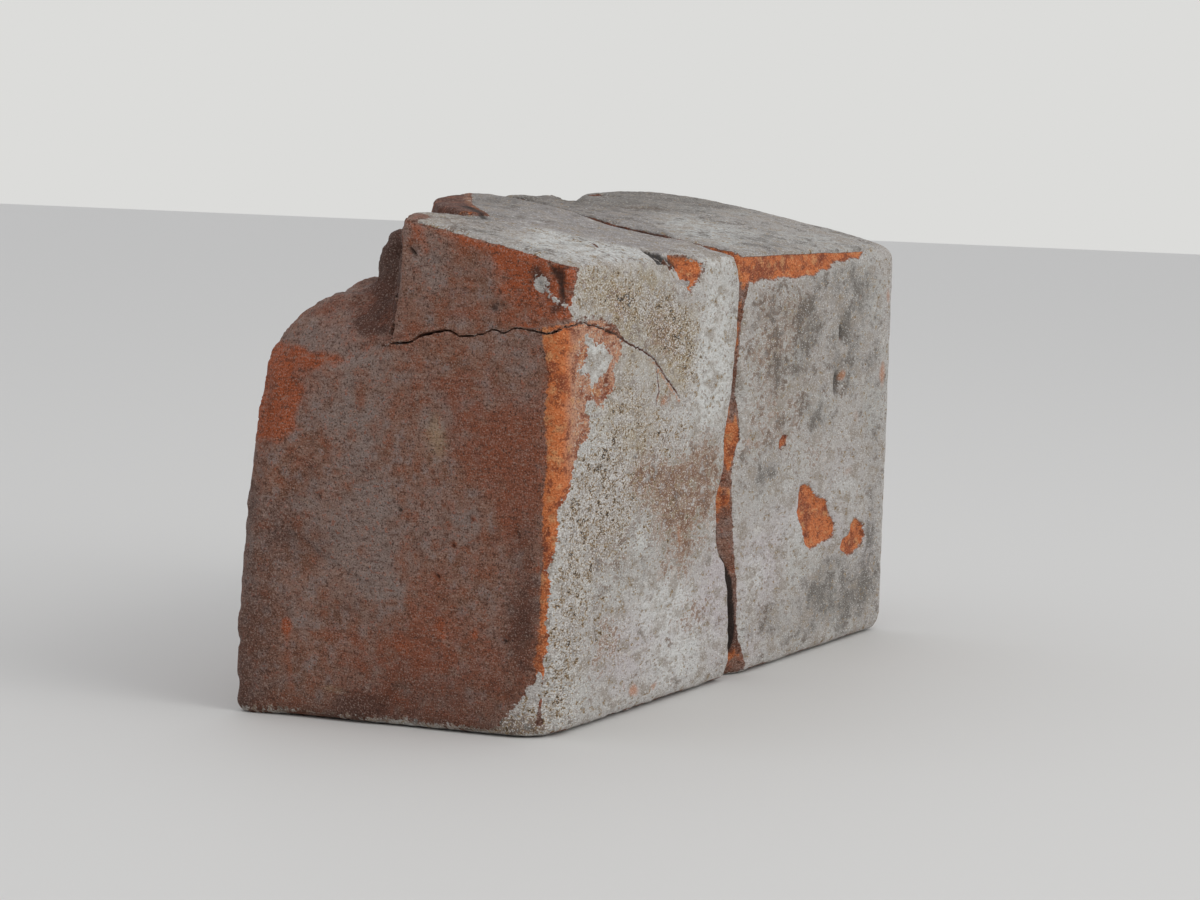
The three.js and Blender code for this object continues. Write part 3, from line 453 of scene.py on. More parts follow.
def faces_of(points, normals, rear):
    """How much each point belongs to each face of the brick, from 0 to 1, and its run."""
    x, y, z = points.T
    from_bed = LIMED_FACE + bed_lean(y, z) - x
    from_bare = x - BARE_FACE
    from_header = y - NEAR_HEADER
    from_far = FAR_HEADER - y
    from_top = top_height(x) - z
    run = from_header - from_bed

    # the wall is the break across, and all clay that lies below the sound faces is broken
    deep = np.min([from_bed, from_bare, from_header, from_far, z, from_top], axis=0)
    wall = ease(np.abs(normals[:, 1]), 0.75, 0.93) * ease(y, -70, -55) * ease(from_far, 4, 7)
    broken = np.maximum(ease(deep + 0.6 * rough(points, 3.2, 9), 1.9, 3.2), wall)
    shoulder = broken * (1 - wall) * ease(y, -60, -70)
    up = ease(normals[:, 2], 0.5, 0.75) * (1 - broken) * ease(from_top, 9, 6)
    header = ease(-normals[:, 1], 0.35, 0.7) * ease(from_header, *SKIN) * (1 - up)
    near = ease(np.minimum(from_bed, from_header), 9, 5) * (1 - up)

    # the slope beside the lost shoulder
    lost = ease(within(LOST_RIM, x, y) + 0.5 * rough(points, 3.4, 9), -0.3, 0.3) * ease(from_top, 6, 2)
    lost = lost * (0 if rear else 1)
    return {
        "run": run,
        "from_bed": from_bed,
        "wall": wall,
        "broken": broken,
        "header": header,
        "ahead": ease(-normals[:, 1], -0.15, 0.4) * ease(y, -60, -70),
        "bed": ease(normals[:, 0], 0.35, 0.7) * ease(from_bed, *SKIN) * (1 - up),
        "far": ease(normals[:, 1], 0.5, 0.8) * ease(from_far, *SKIN),
        "bare": ease(-normals[:, 0], 0.5, 0.8) * (1 - broken),
        "down": ease(-normals[:, 2], 0.5, 0.8),
        "up": up * (1 - lost),
        "lost": lost,
        # both faces round the near upright arris, and the foot of the bare one
        "near": near,
        "left": ease(from_bare, 8, 2) * ease(from_header, 14, 4) * ease(z, 62, 50),
        # the torn shoulder, the knob behind the cracked corner and what lies back from the header
        "shoulder": shoulder,
        "knob": shoulder * ease(z, 92, 98),
        "set_back": shoulder * ease(from_header, 1, 3),
        # the gap's two rims, on the top and on the bed face, and the crust by the near arris
        "rim": line_glow(BREAK_ON_TOP, x, y, 1.8) * ease(from_top, 4, 2.5),
        "step": read_off(STEP_ON_TOP, x, 2),
        "break_rim": near * ease(run, 92, 97) * ease(run, 135, 127),
        "crust": header * ease(run, -8, -3),
    }


def coats_of(points, face, rear):
    """Millimetres inside the edges of the lime, of bare fresh clay and of what has flaked off."""
    x, y, z = points.T
    run, near, up, lost = (face[name] for name in ("run", "near", "up", "lost"))
    mottle = rough(points, 9, 5)
    fine = rough(points, 3.4, 9)

    # lime over the bed face and the top, round the foot of the near arris and along the foot
    sides = np.maximum(within(LIME_COAT, run, z), within(LIME_ISLAND, run, z) + 0.5 * fine)
    sides = np.maximum(sides, np.where(run < 4, 1.5 + 0.9 * mottle - z, OUTSIDE))
    onto_far = 3.5 - face["from_bed"] + 3 * mottle + fine
    sides = np.where(face["far"] > 0.5, np.minimum(sides, onto_far), sides)
    edge = read_off(REAR_EDGE if rear else FRONT_EDGE, z)
    to_break = (run - edge) if rear else (edge - run)
    sides = np.minimum(sides, to_break + 0.3 * fine)
    residue = 5 * rough(points, 21, 71) - 2.2 + 1.5 * fine
    lime = near * sides + (1 - near) * residue
    lime = (1 - up) * lime + 6 * up
    if not rear:
        bare_corner = patch(x, y, (-1.5, -110), (5, 8))
        lime = lime - 8 * up * ease(bare_corner + 0.3 * fine, 0.25, 0.45)
    lime = np.where(face["down"] > 0.5, residue + 2.5, lime)
    bare_break = np.maximum(face["broken"] * (1 - face["break_rim"]), face["wall"])
    lime = lime + OUTSIDE * np.maximum(bare_break, lost)
    lime = lime - 6.6 * ease(face["rim"] * (0.4 + 0.6 * face["step"]) + 0.4 * fine, 0.35, 0.75)

    # what has flaked off, and the ring of lime on the header
    flaked = [within(outline, run, z) for outline in (*FLAKES, LIMED_CHIP, CHIPPED_ARRIS)]
    gone = np.where(near > 0.5, np.max(flaked, axis=0) + 0.35 * fine, OUTSIDE)
    lime = np.minimum(lime, -gone)
    ring = np.maximum(within(LIME_RING, run, z) + 0.6, 0.55 - beside(RING_TAIL, run, z))
    lime = np.where(near > 0.5, np.maximum(lime, ring), lime)

    # bright clay along the worn arris, in the break, where flakes have gone and by the slope
    worn = np.where(near > 0.5, within(WORN_ARRIS, run, z), OUTSIDE)
    in_view = (near > 0.5) * ease(to_break, 0.5, -0.6) * ease(run, 90, 96) * (1 if rear else 0)
    torn = 5 * (read_off(BREAK_IN_VIEW, z) - 0.5) + 1.6 * fine + mottle
    fresh = np.maximum(np.maximum(worn, gone), in_view * torn - 3 * (1 - in_view))
    lost_rim = 1.1 - np.abs(within(LOST_RIM, x, y) - 0.7) + 0.8 * fine
    fresh = np.where((lost > 0.3) & (y < -32), lost_rim, fresh + OUTSIDE * up)
    return {"lime": lime, "fresh": fresh, "_gone": gone, "_in_view": in_view}


def clay_of(points, face, in_view):
    """Tints of the bare clay: rust and ember are red and orange, ash pale, umber dark."""
    z = points[:, 2]
    run, header, near, bare = (face[name] for name in ("run", "header", "near", "bare"))
    knob, lost, rim = (face[name] for name in ("knob", "lost", "rim"))
    broad = rough(points, 24, 3)
    mottle = rough(points, 9, 5)
    fine = rough(points, 3.4, 9)
    wavy_run = run + 1.6 * rough(points, 5, 11)
    wavy_z = z + 1.6 * rough(points, 5, 13)
    weathered = face["broken"] * (1 - face["wall"])

    rust = header * spread(HEADER_RUST, wavy_run, wavy_z) * (0.8 + 0.9 * fine)
    rust = rust + weathered * (0.3 + 0.6 * mottle + 0.5 * fine) * (1 - 0.8 * knob)
    rust = rust + 0.3 * bare * (1 + 1.5 * mottle) + header * (0.22 * fine + 0.16 * mottle)
    rust = rust + 0.5 * face["wall"] + 0.7 * lost + 0.5 * rim

    glow = ease(within(SHOULDER_GLOW, wavy_run, wavy_z) + 1.2 * mottle, -1.5, 2.5) * face["ahead"]
    ember = header * spread(HEADER_EMBER, wavy_run, wavy_z) * (0.75 + 0.9 * fine + 0.5 * mottle)
    ember = ember + header * (0.5 * line_glow(EMBER_STREAK, run, z, 1.1) + spread(HEADER_DOTS, run, z))
    ember = ember + glow * (1 + 0.6 * fine)
    ember = ember + 0.5 * weathered * ease(fine + 0.5 * mottle, 0.3, 0.8) * (1 - knob)

    ash = header * (spread(HEADER_ASH, wavy_run, wavy_z) + 0.5 * line_glow(GREY_DRIFT, run, z, 5.5))
    ash = 0.8 * ash * (0.85 + 1.1 * fine) + weathered * (0.45 - 0.6 * mottle + 0.5 * fine)
    # the grey on the rounded foot of the bare upright arris is painted shade
    ash = ash + 0.35 * face["left"] + 0.35 * face["far"] + 0.5 * bare * ease(mottle, -0.2, 0.6)
    ash = ash + header * (0.12 * broad + 0.25 * fine)
    ash = ash + 1.1 * header * line_glow(PALE_SCRATCH, run, z, 0.7) * ease(fine, -0.4, 0.2)

    scored = header * sum(line_glow(line, run, z - 0.5, 0.6) for line in MOULD_LINES)
    # the darker foot of the bare upright arris is painted shade as well
    umber = header * spread(HEADER_UMBER, wavy_run, wavy_z) + 0.3 * face["left"]
    umber = umber + header * (0.2 * ease(fine, 0.1, 0.6) + 0.38 * ease(z, 20, 2) + 0.2 * ease(z, 8, 0))
    umber = umber + (0.4 * weathered + 0.3 * scored) * ease(fine, -0.2, 0.4)
    umber = umber + 0.3 * bare * ease(broad, 0, -0.6)
    # umber on the knob is partly its own dark clay and partly painted shade; along the rims of the gap
    # across the top it is painted shade
    umber = umber + 0.78 * knob + 0.85 * lost * ease(fine, -0.7, 0.1) + 0.5 * rim

    # the recess between the shoulder and the cracked corner: umber paints shade into it, rust makes it
    # red-brown and ash is kept out of it
    recess = face["set_back"] * line_glow(RECESS_BY_CORNER, run, z, 2.4)
    umber = umber + 0.8 * recess
    rust = rust + 1.2 * recess
    ash = ash * (1 - recess)

    # the torn upper corner of the header, the crust by the near arris and the rim of the lime
    torn = near * patch(run, z, (-4, 98), (11, 7), -20)
    # umber where the torn corner sinks deepest is painted shade in its pockets
    umber = umber + 1.1 * torn * ease(rough(points, 4.2, 77) + 0.4 * fine, 0, 0.4)
    crumbled = rough(points, 3, 89)
    crust = header * ease(run, -9, -3)
    ember = ember + 0.7 * crust * ease(crumbled, 0.1, 0.5)
    umber = umber + 0.5 * crust * ease(crumbled, -0.05, -0.5)
    beside_lime = near * ease(run, -3, -1) * ease(run, 6, 3) * ease(z, 90, 92)
    ember = ember + beside_lime * (0.6 + 1.2 * fine)
    rust = rust + beside_lime * (0.6 + mottle)
    umber = umber + 0.7 * beside_lime * ease(fine, 0.2, -0.4)

    # the face of the break where the gap lets it be seen, painted dark as the shade in the gap
    ember = ember * (1 - in_view)
    dark = read_off(BREAK_IN_VIEW, z, 2)
    umber = np.where(in_view > 0, in_view * (dark + 0.3 * fine), umber)
    beige = header * (spread(HEADER_BEIGE, wavy_run, wavy_z) + spread(BEIGE_SMEARS, run, z))
    return {"rust": rust, "ember": ember, "ash": ash, "umber": umber, "beige": beige}


def lime_of(points, face, rear):
    """Tints of the lime: soot and stain darken it, grit roughens it, moss and lilac colour it."""
    z = points[:, 2]
    run, header, bed = (face[name] for name in ("run", "header", "bed"))
    mottle = rough(points, 9, 5)
    fine = rough(points, 3.4, 9)
    wavy_run = run + 2.6 * rough(points, 7, 11)
    wavy_z = z + 1.8 * rough(points, 6, 13)

    foot = header * ease(z, 7, 3)
    soot = bed * spread(BED_SOOT, wavy_run, wavy_z) * (0.85 + 0.9 * mottle + 0.5 * fine) + 0.5 * foot
    stain = bed * spread(BED_STAIN, wavy_run, wavy_z) * (0.85 + 0.5 * mottle + 0.6 * fine) + 0.6 * foot
    spots = bed * spread(BED_SPOTS, wavy_run, wavy_z)
    if not rear:
        lips = np.maximum(line_glow(CRACK_ON_BED, run, z + 0.5, 0.8), line_glow(FORK_ON_BED, run, z, 0.7))
        spots = spots + bed * lips * ease(run, 44, 56) * (0.9 + 0.5 * fine)
    grit = bed * spread(BED_GRIT, wavy_run, wavy_z) + 0.5 * header * ease(z, 13, 7) * ease(run, -16, -10)
    grit = grit * (0.85 + 0.4 * mottle + 0.5 * fine) + 0.35 * face["far"] + 0.08
    tints = {
        "soot": soot,
        "stain": stain,
        "spots": spots,
        "grit": grit,
        "moss": bed * spread(BED_MOSS, wavy_run, wavy_z) * (0.85 + 0.7 * fine),
        "lilac": bed * spread(BED_LILAC, wavy_run, wavy_z),
        "white": bed * spread(BED_WHITE, wavy_run, wavy_z) * (0.85 + 0.5 * fine),
    }
    return topped(tints, points, face["up"], rear)


def topped(tints, points, up, rear):
    """The tints with those of the top laid over them. Strokes of the strike-off run askew along the
    brick, and a thin lilac wash lies between thick white lime by the limed arris and soot and moss
    by the bare one."""
    x, y, z = points.T
    mottle = rough(points, 9, 5)
    fine = rough(points, 3.4, 9)
    across = 0.91 * x - 0.42 * y
    along = 0.42 * x + 0.91 * y
    strokes = rough(np.stack([across, 0.16 * along, z], 1), 3, 91, 4)
    flecks = rough(np.stack([across, 0.4 * along, z], 1), 1.8, 93, 2)
    wavy_x = x + 2 * mottle
    wavy_y = y + 5 * rough(points, 11, 61)
    if rear:
        thick = spread(REAR_TOP_LIME, wavy_x, wavy_y)
        dark = spread(REAR_TOP_SOOT, wavy_x, wavy_y) + 0.75 * ease(wavy_x, 12, -22) + 0.47
        wash = 0.9 * ease(y, 34, 20)
        moss = 0.25 * ease(y, 20, 50) * (0.5 + 0.5 * mottle + 0.4 * strokes)
        stain = 0.9 * patch(x, y, (-5, 36), (2.6, 12), -12) + 0.5 * patch(x, y, (-20, 8), (5, 10))
        grit = 0
    else:
        thick = spread(FRONT_TOP_LIME, wavy_x, wavy_y)
        dark = spread(FRONT_TOP_SOOT, wavy_x, wavy_y) + 0.5 * ease(wavy_x, 16, -12) + 0.15
        wash = ease(y, -104, -72)
        moss = 0.45 * ease(wavy_x, 14, 2) * ease(y, -78, -96)
        stain = 0.35 * ease(y, -84, -96) * ease(x, 22, 6)
        grit = 0.25 * np.clip(thick, 0, 1)
    thick = np.clip(thick, 0, 1.4)
    white = thick * (0.8 + 0.7 * fine) + 0.5 * ease(strokes, 0.1, 0.6)
    soot = dark * (0.85 + 0.6 * strokes) + 0.5 * ease(strokes, -0.1, -0.5) + 0.4 * ease(flecks, -0.35, -0.7)
    on_top = {"soot": soot, "stain": stain, "grit": grit, "moss": moss, "white": white}
    tints = tints | {key: tints[key] + up * more for key, more in on_top.items()}
    tints["wash"] = up * np.clip(wash * (1 - thick) + 0.3 * strokes + 0.2 * fine, 0, 1)
    return tints


def shade_in_holes_of(points, face, rear):
    """How dark shade is painted at each point in a pinhole, slot, score, gap or torn cavity."""
    x, y, z = points.T
    run, header, bed, near = (face[name] for name in ("run", "header", "bed", "near"))
    fine = rough(points, 3.4, 9)
    # painted shade in the torn cavity, in the middle of the lime ring and over the knob
    hollow = 0.9 * near * ease(within(CAVITY, run, z) + 2.2 * rough(points, 2.2, 15), -1.3, 1.2)
    hollow = hollow + 0.4 * near * patch(run, z, MIDDLE_OF_RING, (0.6, 0.5)) + 0.3 * face["knob"]
    # painted shade in the scores, pinholes and slots
    for line in DARK_SCORES:
        hollow = hollow + 0.5 * bed * line_glow(line, run, z, 0.8) * (0.8 + 0.8 * fine)
    for a, b, size in PINHOLES:
        hollow = hollow + 0.85 * header * patch(run, z, (a, b), (0.75 * size, 0.75 * size))
    for a, b, wide, tall in SLOTS:
        hollow = hollow + 1.2 * bed * patch(run, z, (a, b), (0.5 * wide, 0.45 * tall)) * (0.7 + 0.6 * fine)
    # painted shade in the gap across the top, in the crevice by the corner and along the notch
    hollow = hollow + 0.9 * face["rim"] * face["step"] * ease(fine, -0.6, 0.1)
    hollow = hollow + 0.35 * face["set_back"] * line_glow(CREVICE_BY_CORNER, run, z, 1.1)
    hollow = hollow + 0.85 * (face["up"] + face["lost"]) * line_glow(NOTCH_LINE_ON_TOP, x, y, 2.0)
    # painted shade in the gap beside the front half's edge, and in the slot on the top, below it and over
    # the chip
    if rear:
        gap = read_off(BREAK_IN_VIEW, z, 3)
        shut = read_off(FRONT_EDGE, z) + gap - 0.5 - run
        hollow = hollow + face["break_rim"] * ease(shut + 0.5 * fine, -0.5, 0.5) * ease(gap, 0.2, 1)
    else:
        hollow = hollow + ease(within(SLOT_ON_TOP, x, y) + 0.3 * fine, -0.3, 0.4) * ease(z, *SLOT_FLOOR)
        hollow = hollow + 0.9 * near * line_glow(SLOT_BELOW, run, z, 0.9)
        hollow = hollow + 0.5 * near * line_glow(LINE_OVER_CHIP, run, z, 0.8)
    return {"hollow": hollow}


def painted(points, face, rear):
    """What clings to each point, how it has worn and the shade painted into its pits and gaps. Names that
    start with _ stay off the mesh.
    """
    coats = coats_of(points, face, rear)
    run = face["run"]
    tints = clay_of(points, face, coats["_in_view"]) | lime_of(points, face, rear)
    tints = tints | shade_in_holes_of(points, face, rear)
    dust = ease(run + 3.4 * rough(points, 4, 21), -1.5, 8) * ease(run, 36, 33) * ease(points[:, 2], 50, 66)
    tints["dust"] = dust * (0 if rear else 1)
    return {key: np.clip(value, 0, 1) for key, value in tints.items()} | coats


def grain_of(points, face, paint):
    """How far each point sinks for moulding, tearing, lime, burnt straw and stones."""
    x, y, z = points.T
    broken, wall = face["broken"], face["wall"]
    lime = ease(paint["lime"] + 0.9 * rough(points, 2.2, 17), -0.35, 0.35)
    weathered = broken * (1 - wall)
    clay = (1 - lime) * (1 - broken)
    dip = 0.22 + 0.2 * rough(points, 26, 31) + 0.09 * rough(points, 2.1, 37, 2)
    dip = dip + clay * (0.12 + 0.2 * rough(points, 6, 35))
    dip = dip + weathered * (0.75 * rough(points, 11, 41) + 0.8 * (np.abs(rough(points, 4.5, 45)) - 0.3))
    dip = dip + weathered * 0.25 * rough(points, 2.2, 47, 2) + wall * 0.2 * rough(points, 5, 43)
    dip = dip + lime * 0.18 * rough(points, 7, 53)
    dip = dip + lime * (0.12 + 0.4 * paint["grit"]) * rough(points, 2.3, 49, 2)

    # the torn shoulder is fibrous: ridges climb it towards the cracked corner
    climb = np.stack([0.3 * (0.8 * x + 0.6 * z), 0.8 * z - 0.6 * x, 0.5 * y], 1)
    dip = dip + face["shoulder"] * 0.9 * (np.abs(rough(climb, 3.2, 33)) - 0.25)

    # pits left by burnt straw and lost stones, and stones that stand proud
    for spacing, least, size, drop in ((7.5, 0.5, 1.6, 0.9), (4.2, 0.6, 1.0, 0.55)):
        far, chance = crumbs(points, spacing, int(10 * spacing))
        pit = np.clip(1 - far / (size * (0.4 + 0.8 * chance)), 0, 1) * (chance > least)
        dip = dip + drop * pit * (0.8 * clay + broken + 0.3 * lime)
    far, chance = crumbs(points, 3.4, 67)
    return dip - 0.22 * np.clip(1 - far / 1.2, 0, 1) * (chance > 0.5) * (clay + 0.6 * weathered)


def damage_of(points, face, paint):
    """How far each point sinks in flakes, chips, cavities, scratches, pinholes and slots."""
    run, header, bed, near, crust = (face[name] for name in ("run", "header", "bed", "near", "crust"))
    z = points[:, 2]
    dip = 0.75 * ease(paint["_gone"] + 0.5 * rough(points, 2.5, 71), -0.3, 0.5)
    torn = ease(within(CAVITY, run, z) + 1.1 * rough(points, 2.4, 73), -1.2, 1.4)
    dip = dip + near * torn * (1.2 + 1.1 * rough(points, 2.2, 75))
    dip = dip - near * 0.7 * np.exp(-((beside(LIME_RING, run, z, closed=True) / 0.6) ** 2))
    dip = dip - near * 0.3 * line_glow(RING_TAIL, run, z, 0.6)
    torn_corner = near * header * patch(run, z, (-9, 98), (12, 8), -20)
    ridges = np.abs(rough(points, 2.8, 79)) - 0.3
    dip = dip + torn_corner * (0.2 + 1.2 * rough(points, 4.2, 77) + 0.8 * ridges)
    dip = dip + crust * (0.5 * rough(points, 3, 89) + 0.3 * (np.abs(rough(points, 1.9, 92)) - 0.3))
    dip = dip + near * 0.8 * line_glow(FOOT_SCRATCH, run, z, 0.8)
    dip = dip + header * 0.5 * (patch(run, z, (-34, 3), (5, 3)) - patch(run, z, (-46, 4), (5, 4)))
    dip = dip - header * 0.2 * line_glow(PALE_SCRATCH, run, z, 0.6)
    for line in MOULD_LINES:
        dip = dip + header * 0.2 * line_glow(line, run, z, 0.5)
    for line in DARK_SCORES:
        dip = dip + bed * 0.7 * line_glow(line, run, z, 0.8)
    for a, b, size in PINHOLES:
        dip = dip + header * 1.1 * patch(run, z, (a, b), (0.8 * size, 0.8 * size))
    for a, b, wide, tall in SLOTS:
        dip = dip + bed * 2.2 * patch(run, z, (a, b), (0.5 * wide, 0.5 * tall))
    return dip


def wear_of(points, normals, face, arris):
    """How far each point sinks along worn arrises, on the shoulder and round the rims on the top."""
    x, y, z = points.T
    up, lost, knob = face["up"], face["lost"], face["knob"]
    weathered = face["broken"] * (1 - face["wall"])

    # the header's bare upright arris is lumpy from the foot to the lost shoulder
    dip = arris * ease(z, 4, 16) * (0.1 + 0.9 * lumps(points, 11, 83) + 0.6 * lumps(points, 5, 85))
    dip = dip - 0.9 * arris * (1 - up)
    dip = dip - 0.9 * weathered * face["ahead"] * ease(x, 0, -14) * ease(z, 92, 86)

    # the foot of the cracked corner is worn round, beside the lost shoulder
    facing_out = ease(-normals[:, 0], 0.3, 0.8) * ease(y, -102, -108)
    dip = dip + facing_out * (1.5 * patch(x, z, (-6, 86), (4, 3.5)) + 0.9 * rough(points, 5, 87))

    # the knob is taller and slimmer than it broke, and the slope by it falls away
    dip = dip + knob * (1.4 * patch(x, z, (-18, 97), (4, 4)) - 0.8 * patch(x, z, (-11, 106.5), (4, 3)))
    dip = dip + knob * 1.6 * patch(x, z, (-17, 106.5), (3, 2.6))
    askew = 0.92 * x + 0.4 * y
    dip = dip + lost * np.clip(0.08 * within(LOST_RIM, x, y), 0, 0.5)
    dip = dip - lost * (1.1 * patch(x, y, (-17, -53), (5, 10)) + read_off(SLOPE_OF_RIM, askew))

    # on the top: the slot, the worn rims of the gap, the notch and the part that stands higher
    dip = dip + 1.2 * ease(within(SLOT_ON_TOP, x, y), -0.5, 0.8) * ease(z, *SLOT_FLOOR)
    dip = dip + face["rim"] * (0.4 + 0.4 * rough(points, 3, 63))
    in_front = y < read_off(BREAK_ON_TOP, x) + 0.5
    dip = dip + up * read_off(STEP_ON_TOP, x) * line_glow(BREAK_ON_TOP, x, y, 6) * in_front
    dip = dip - up * 0.8 * patch(x, y, (-20, -1), (7, 9))
    dip = dip + up * read_off(NOTCH_IN_RIM, askew) * ease(x, -14, -20) * ease(y, 16, 28)
    raised = ease(up, 0.3, 0.8) * ease(y, -14, -26) * ease(y, -84, -76) * ease(x, 12, -2)
    return dip - 0.75 * raised


def carved(points, normals, face, paint):
    """The points after moulding, breaking and weather, each moved in or out along its normal."""
    arris = ease(points[:, 0] - BARE_FACE, 14, 2) * ease(points[:, 1] - NEAR_HEADER, 20, 6)
    dip = grain_of(points, face, paint) + damage_of(points, face, paint)
    dip = dip + wear_of(points, normals, face, arris)
    weathered = face["broken"] * (1 - face["wall"])
    proud = [1.8 * weathered, 1.2 * arris, 1.2 * face["knob"], 0.7 * face["up"], 2.2 * face["lost"]]
    moved = points - normals * np.maximum(dip, -np.max(proud, axis=0))[:, None]
    return np.clip(moved, BOX_LOW, BOX_HIGH)


def rim_pulled(points, face):
    """The front half's points with its rim on the limed bed face drawn along the brick."""
    share = ease(face["from_bed"], 5, 1.5) * ease(face["run"], 92, 100)
    shift = read_off(RIM_PULL, points[:, 2]) * share
    return points + shift[:, None] * np.array([0, 1, 0])


# ---- the mesh of a half ----------------------------------------------------------------------


def sound_shape(node):
    """The half's solid as an even net of small faces, with its narrow slits closed."""
    mesh = node.data
    mesh.calc_loop_triangles()
    points = np.empty(len(mesh.vertices) * 3, np.float32)
    mesh.vertices.foreach_get("co", points)
    faces = np.empty(len(mesh.loop_triangles) * 3, np.int32)
    mesh.loop_triangles.foreach_get("vertices", faces)
    grown = openvdb.FloatGrid.createLevelSetFromPolygons(
        points.reshape(-1, 3) / MM,
        triangles=faces.reshape(-1, 3).astype(np.uint32),
        transform=openvdb.createLinearTransform(voxelSize=FINE_NET),
        halfWidth=SLIT_REACH / FINE_NET + 2,
    )
    points, triangles, quads = grown.convertToPolygons(isovalue=SLIT_REACH)
    shrunk = openvdb.FloatGrid.createLevelSetFromPolygons(
        points,
        triangles=triangles if len(triangles) else None,
        quads=quads,
        transform=openvdb.createLinearTransform(voxelSize=NET),
        halfWidth=SLIT_REACH / NET + 3,
    )
    points, _, quads = shrunk.convertToPolygons(isovalue=-SLIT_REACH)
    return largest_piece(points.astype(float), quads.astype(np.int64))


def largest_piece(points, quads):
    """The outer skin alone, without any bubble left inside."""
    ends = np.concatenate([quads[:, [k, (k + 1) % 4]] for k in range(4)])
    label = np.arange(len(points))
    while True:
        lowest = np.minimum(label[ends[:, 0]], label[ends[:, 1]])
        shared = label.copy()
        np.minimum.at(shared, ends[:, 0], lowest)
        np.minimum.at(shared, ends[:, 1], lowest)
        shared = shared[shared]
        if (shared == label).all():
            break
        label = shared
    names, counts = np.unique(label, return_counts=True)
    keep = label == names[counts.argmax()]
    order = np.cumsum(keep) - 1
    return points[keep], order[quads[keep[quads[:, 0]]]]


def relaxed(points, quads, rounds):
    """Each point moved half way to the middle of its neighbours, so that facets blend."""
    ends = np.concatenate([quads[:, [k, (k + 1) % 4]] for k in range(4)])
    count = np.bincount(ends[:, 0], minlength=len(points))
    for _ in range(rounds):
        middle = np.stack(
            [np.bincount(ends[:, 0], points[ends[:, 1], k], len(points)) for k in range(3)], 1
        )
        points = (points + middle / count[:, None]) / 2
    return points


def outward(points, quads):
    """The unit normal at each point."""
    a, b, c, d = (points[quads[:, k]] for k in range(4))
    across = np.cross(c - a, d - b)
    total = np.zeros_like(points)
    for k, axis in product(range(4), range(3)):
        total[:, axis] += np.bincount(quads[:, k], across[:, axis], len(points))
    return total / np.maximum(np.linalg.norm(total, axis=1, keepdims=True), 1e-9)


def volume(points, quads):
    """The room inside the skin, negative where its faces are turned inward."""
    a, b, c, d = (points[quads[:, k]] for k in range(4))
    return ((np.cross(a, b) * c).sum() + (np.cross(a, c) * d).sum()) / 6


def mesh_object(name, points, faces, paint):
    """An object with those points, in millimetres, and what is painted on them as attributes."""
    mesh = bpy.data.meshes.new(name)
    mesh.from_pydata((points * MM).tolist(), [], faces)
    mesh.update()
    for key, values in paint.items():
        if not key.startswith("_"):
            attribute = mesh.attributes.new(key, "FLOAT", "POINT")
            attribute.data.foreach_set("value", np.asarray(values, np.float32))
    piece = bpy.data.objects.new(name, mesh)
    bpy.context.scene.collection.objects.link(piece)
    return piece


# ---- cracks ----------------------------------------------------------------------------------

LIP = 1.0  # a crack's wedge starts this high above the skin


def stepped(path, step=0.6):
    """The path with a point about every step."""
    path = np.array(path, float)
    out = []
    for a, b in zip(path[:-1], path[1:]):
        count = max(1, int(round(np.linalg.norm(b - a) / step)))
        out += [a + (b - a) * k / count for k in range(count)]
    return np.array(out + [path[-1]])


def crack(name, skin, path, widths, deep, seed):
    """A wedge that follows the path over the skin, widths wide from end to end and deep at most."""
    guide = stepped(path)
    wander = [0.35 * lumps(guide, 3.1, seed + k) + 0.3 * lumps(guide, 1.2, seed + 7 + k) for k in range(3)]
    guide = guide + np.stack(wander, 1)
    along = np.linspace(0, 1, len(guide))
    width = np.interp(along, np.linspace(0, 1, len(widths)), widths)
    width = width * (1 + 0.6 * lumps(guide, 1.7, seed + 5))
    found = [skin.find_nearest(Vector(point))[:2] for point in guide]
    on_skin = np.array([place for place, _ in found])
    out = np.array([normal for _, normal in found])
    side = np.cross(out, np.gradient(on_skin, axis=0))
    side /= np.maximum(np.linalg.norm(side, axis=1, keepdims=True), 1e-9)

    # three rows of points: two stand a lip above the skin and the third is the wedge's edge
    depth = deep * np.minimum(1, width / max(widths))[:, None] ** 0.5
    mouth = side * (1 + LIP / depth) * width[:, None] / 2
    above = on_skin + out * LIP
    points = np.stack([above + mouth, on_skin - out * depth, above - mouth], 1).reshape(-1, 3)
    faces = []
    for k in range(len(guide) - 1):
        for a, b in ((0, 1), (1, 2), (2, 0)):
            faces.append((3 * k + b, 3 * k + a, 3 * k + 3 + a, 3 * k + 3 + b))
    last = 3 * (len(guide) - 1)
    faces += [(0, 1, 2), (last + 2, last + 1, last)]
    # the wedge's faces are painted in full shade, with no lime or fresh clay on them
    wedge_shade = {"hollow": np.ones(len(points))}
    wedge_shade |= {key: np.full(len(points), OUTSIDE) for key in ("lime", "fresh")}
    return mesh_object(name, points, faces, wedge_shade)


def at_header(x, z):
    """That place on the header."""
    return (x, NEAR_HEADER, z)


def at_bed(run, z):
    """That place on the limed bed face."""
    y = NEAR_HEADER + run
    return (LIMED_FACE + bed_lean(y, z), y, z)


# Paths over the skin, as x, y and height.
CORNER_CRACK = [at_header(*spot) for spot in CRACK_ON_HEADER] + [at_bed(*spot) for spot in CRACK_ON_BED]
CRACK_FORK = [at_bed(*spot) for spot in FORK_ON_BED]
CORNER_NOTCH = [
    (-4.2, -110, 94.4), (-4.8, -111, 91.2), (-4.8, -112, 88.2), (-4, -113, 85.9), (-2.8, -114, 84.8),
]
SLOT_CRACK = [
    (35, -55.8, 103.9), (36.8, -55, 103.3), (37.8, -52, 102.6), (38.2, -48.5, 101.9), (38.2, -45, 101.1),
]
TOP_CRACK = [(25.4, -71.5, 107), (28.6, -75.5, 106), (30.4, -78.6, 105.5)]


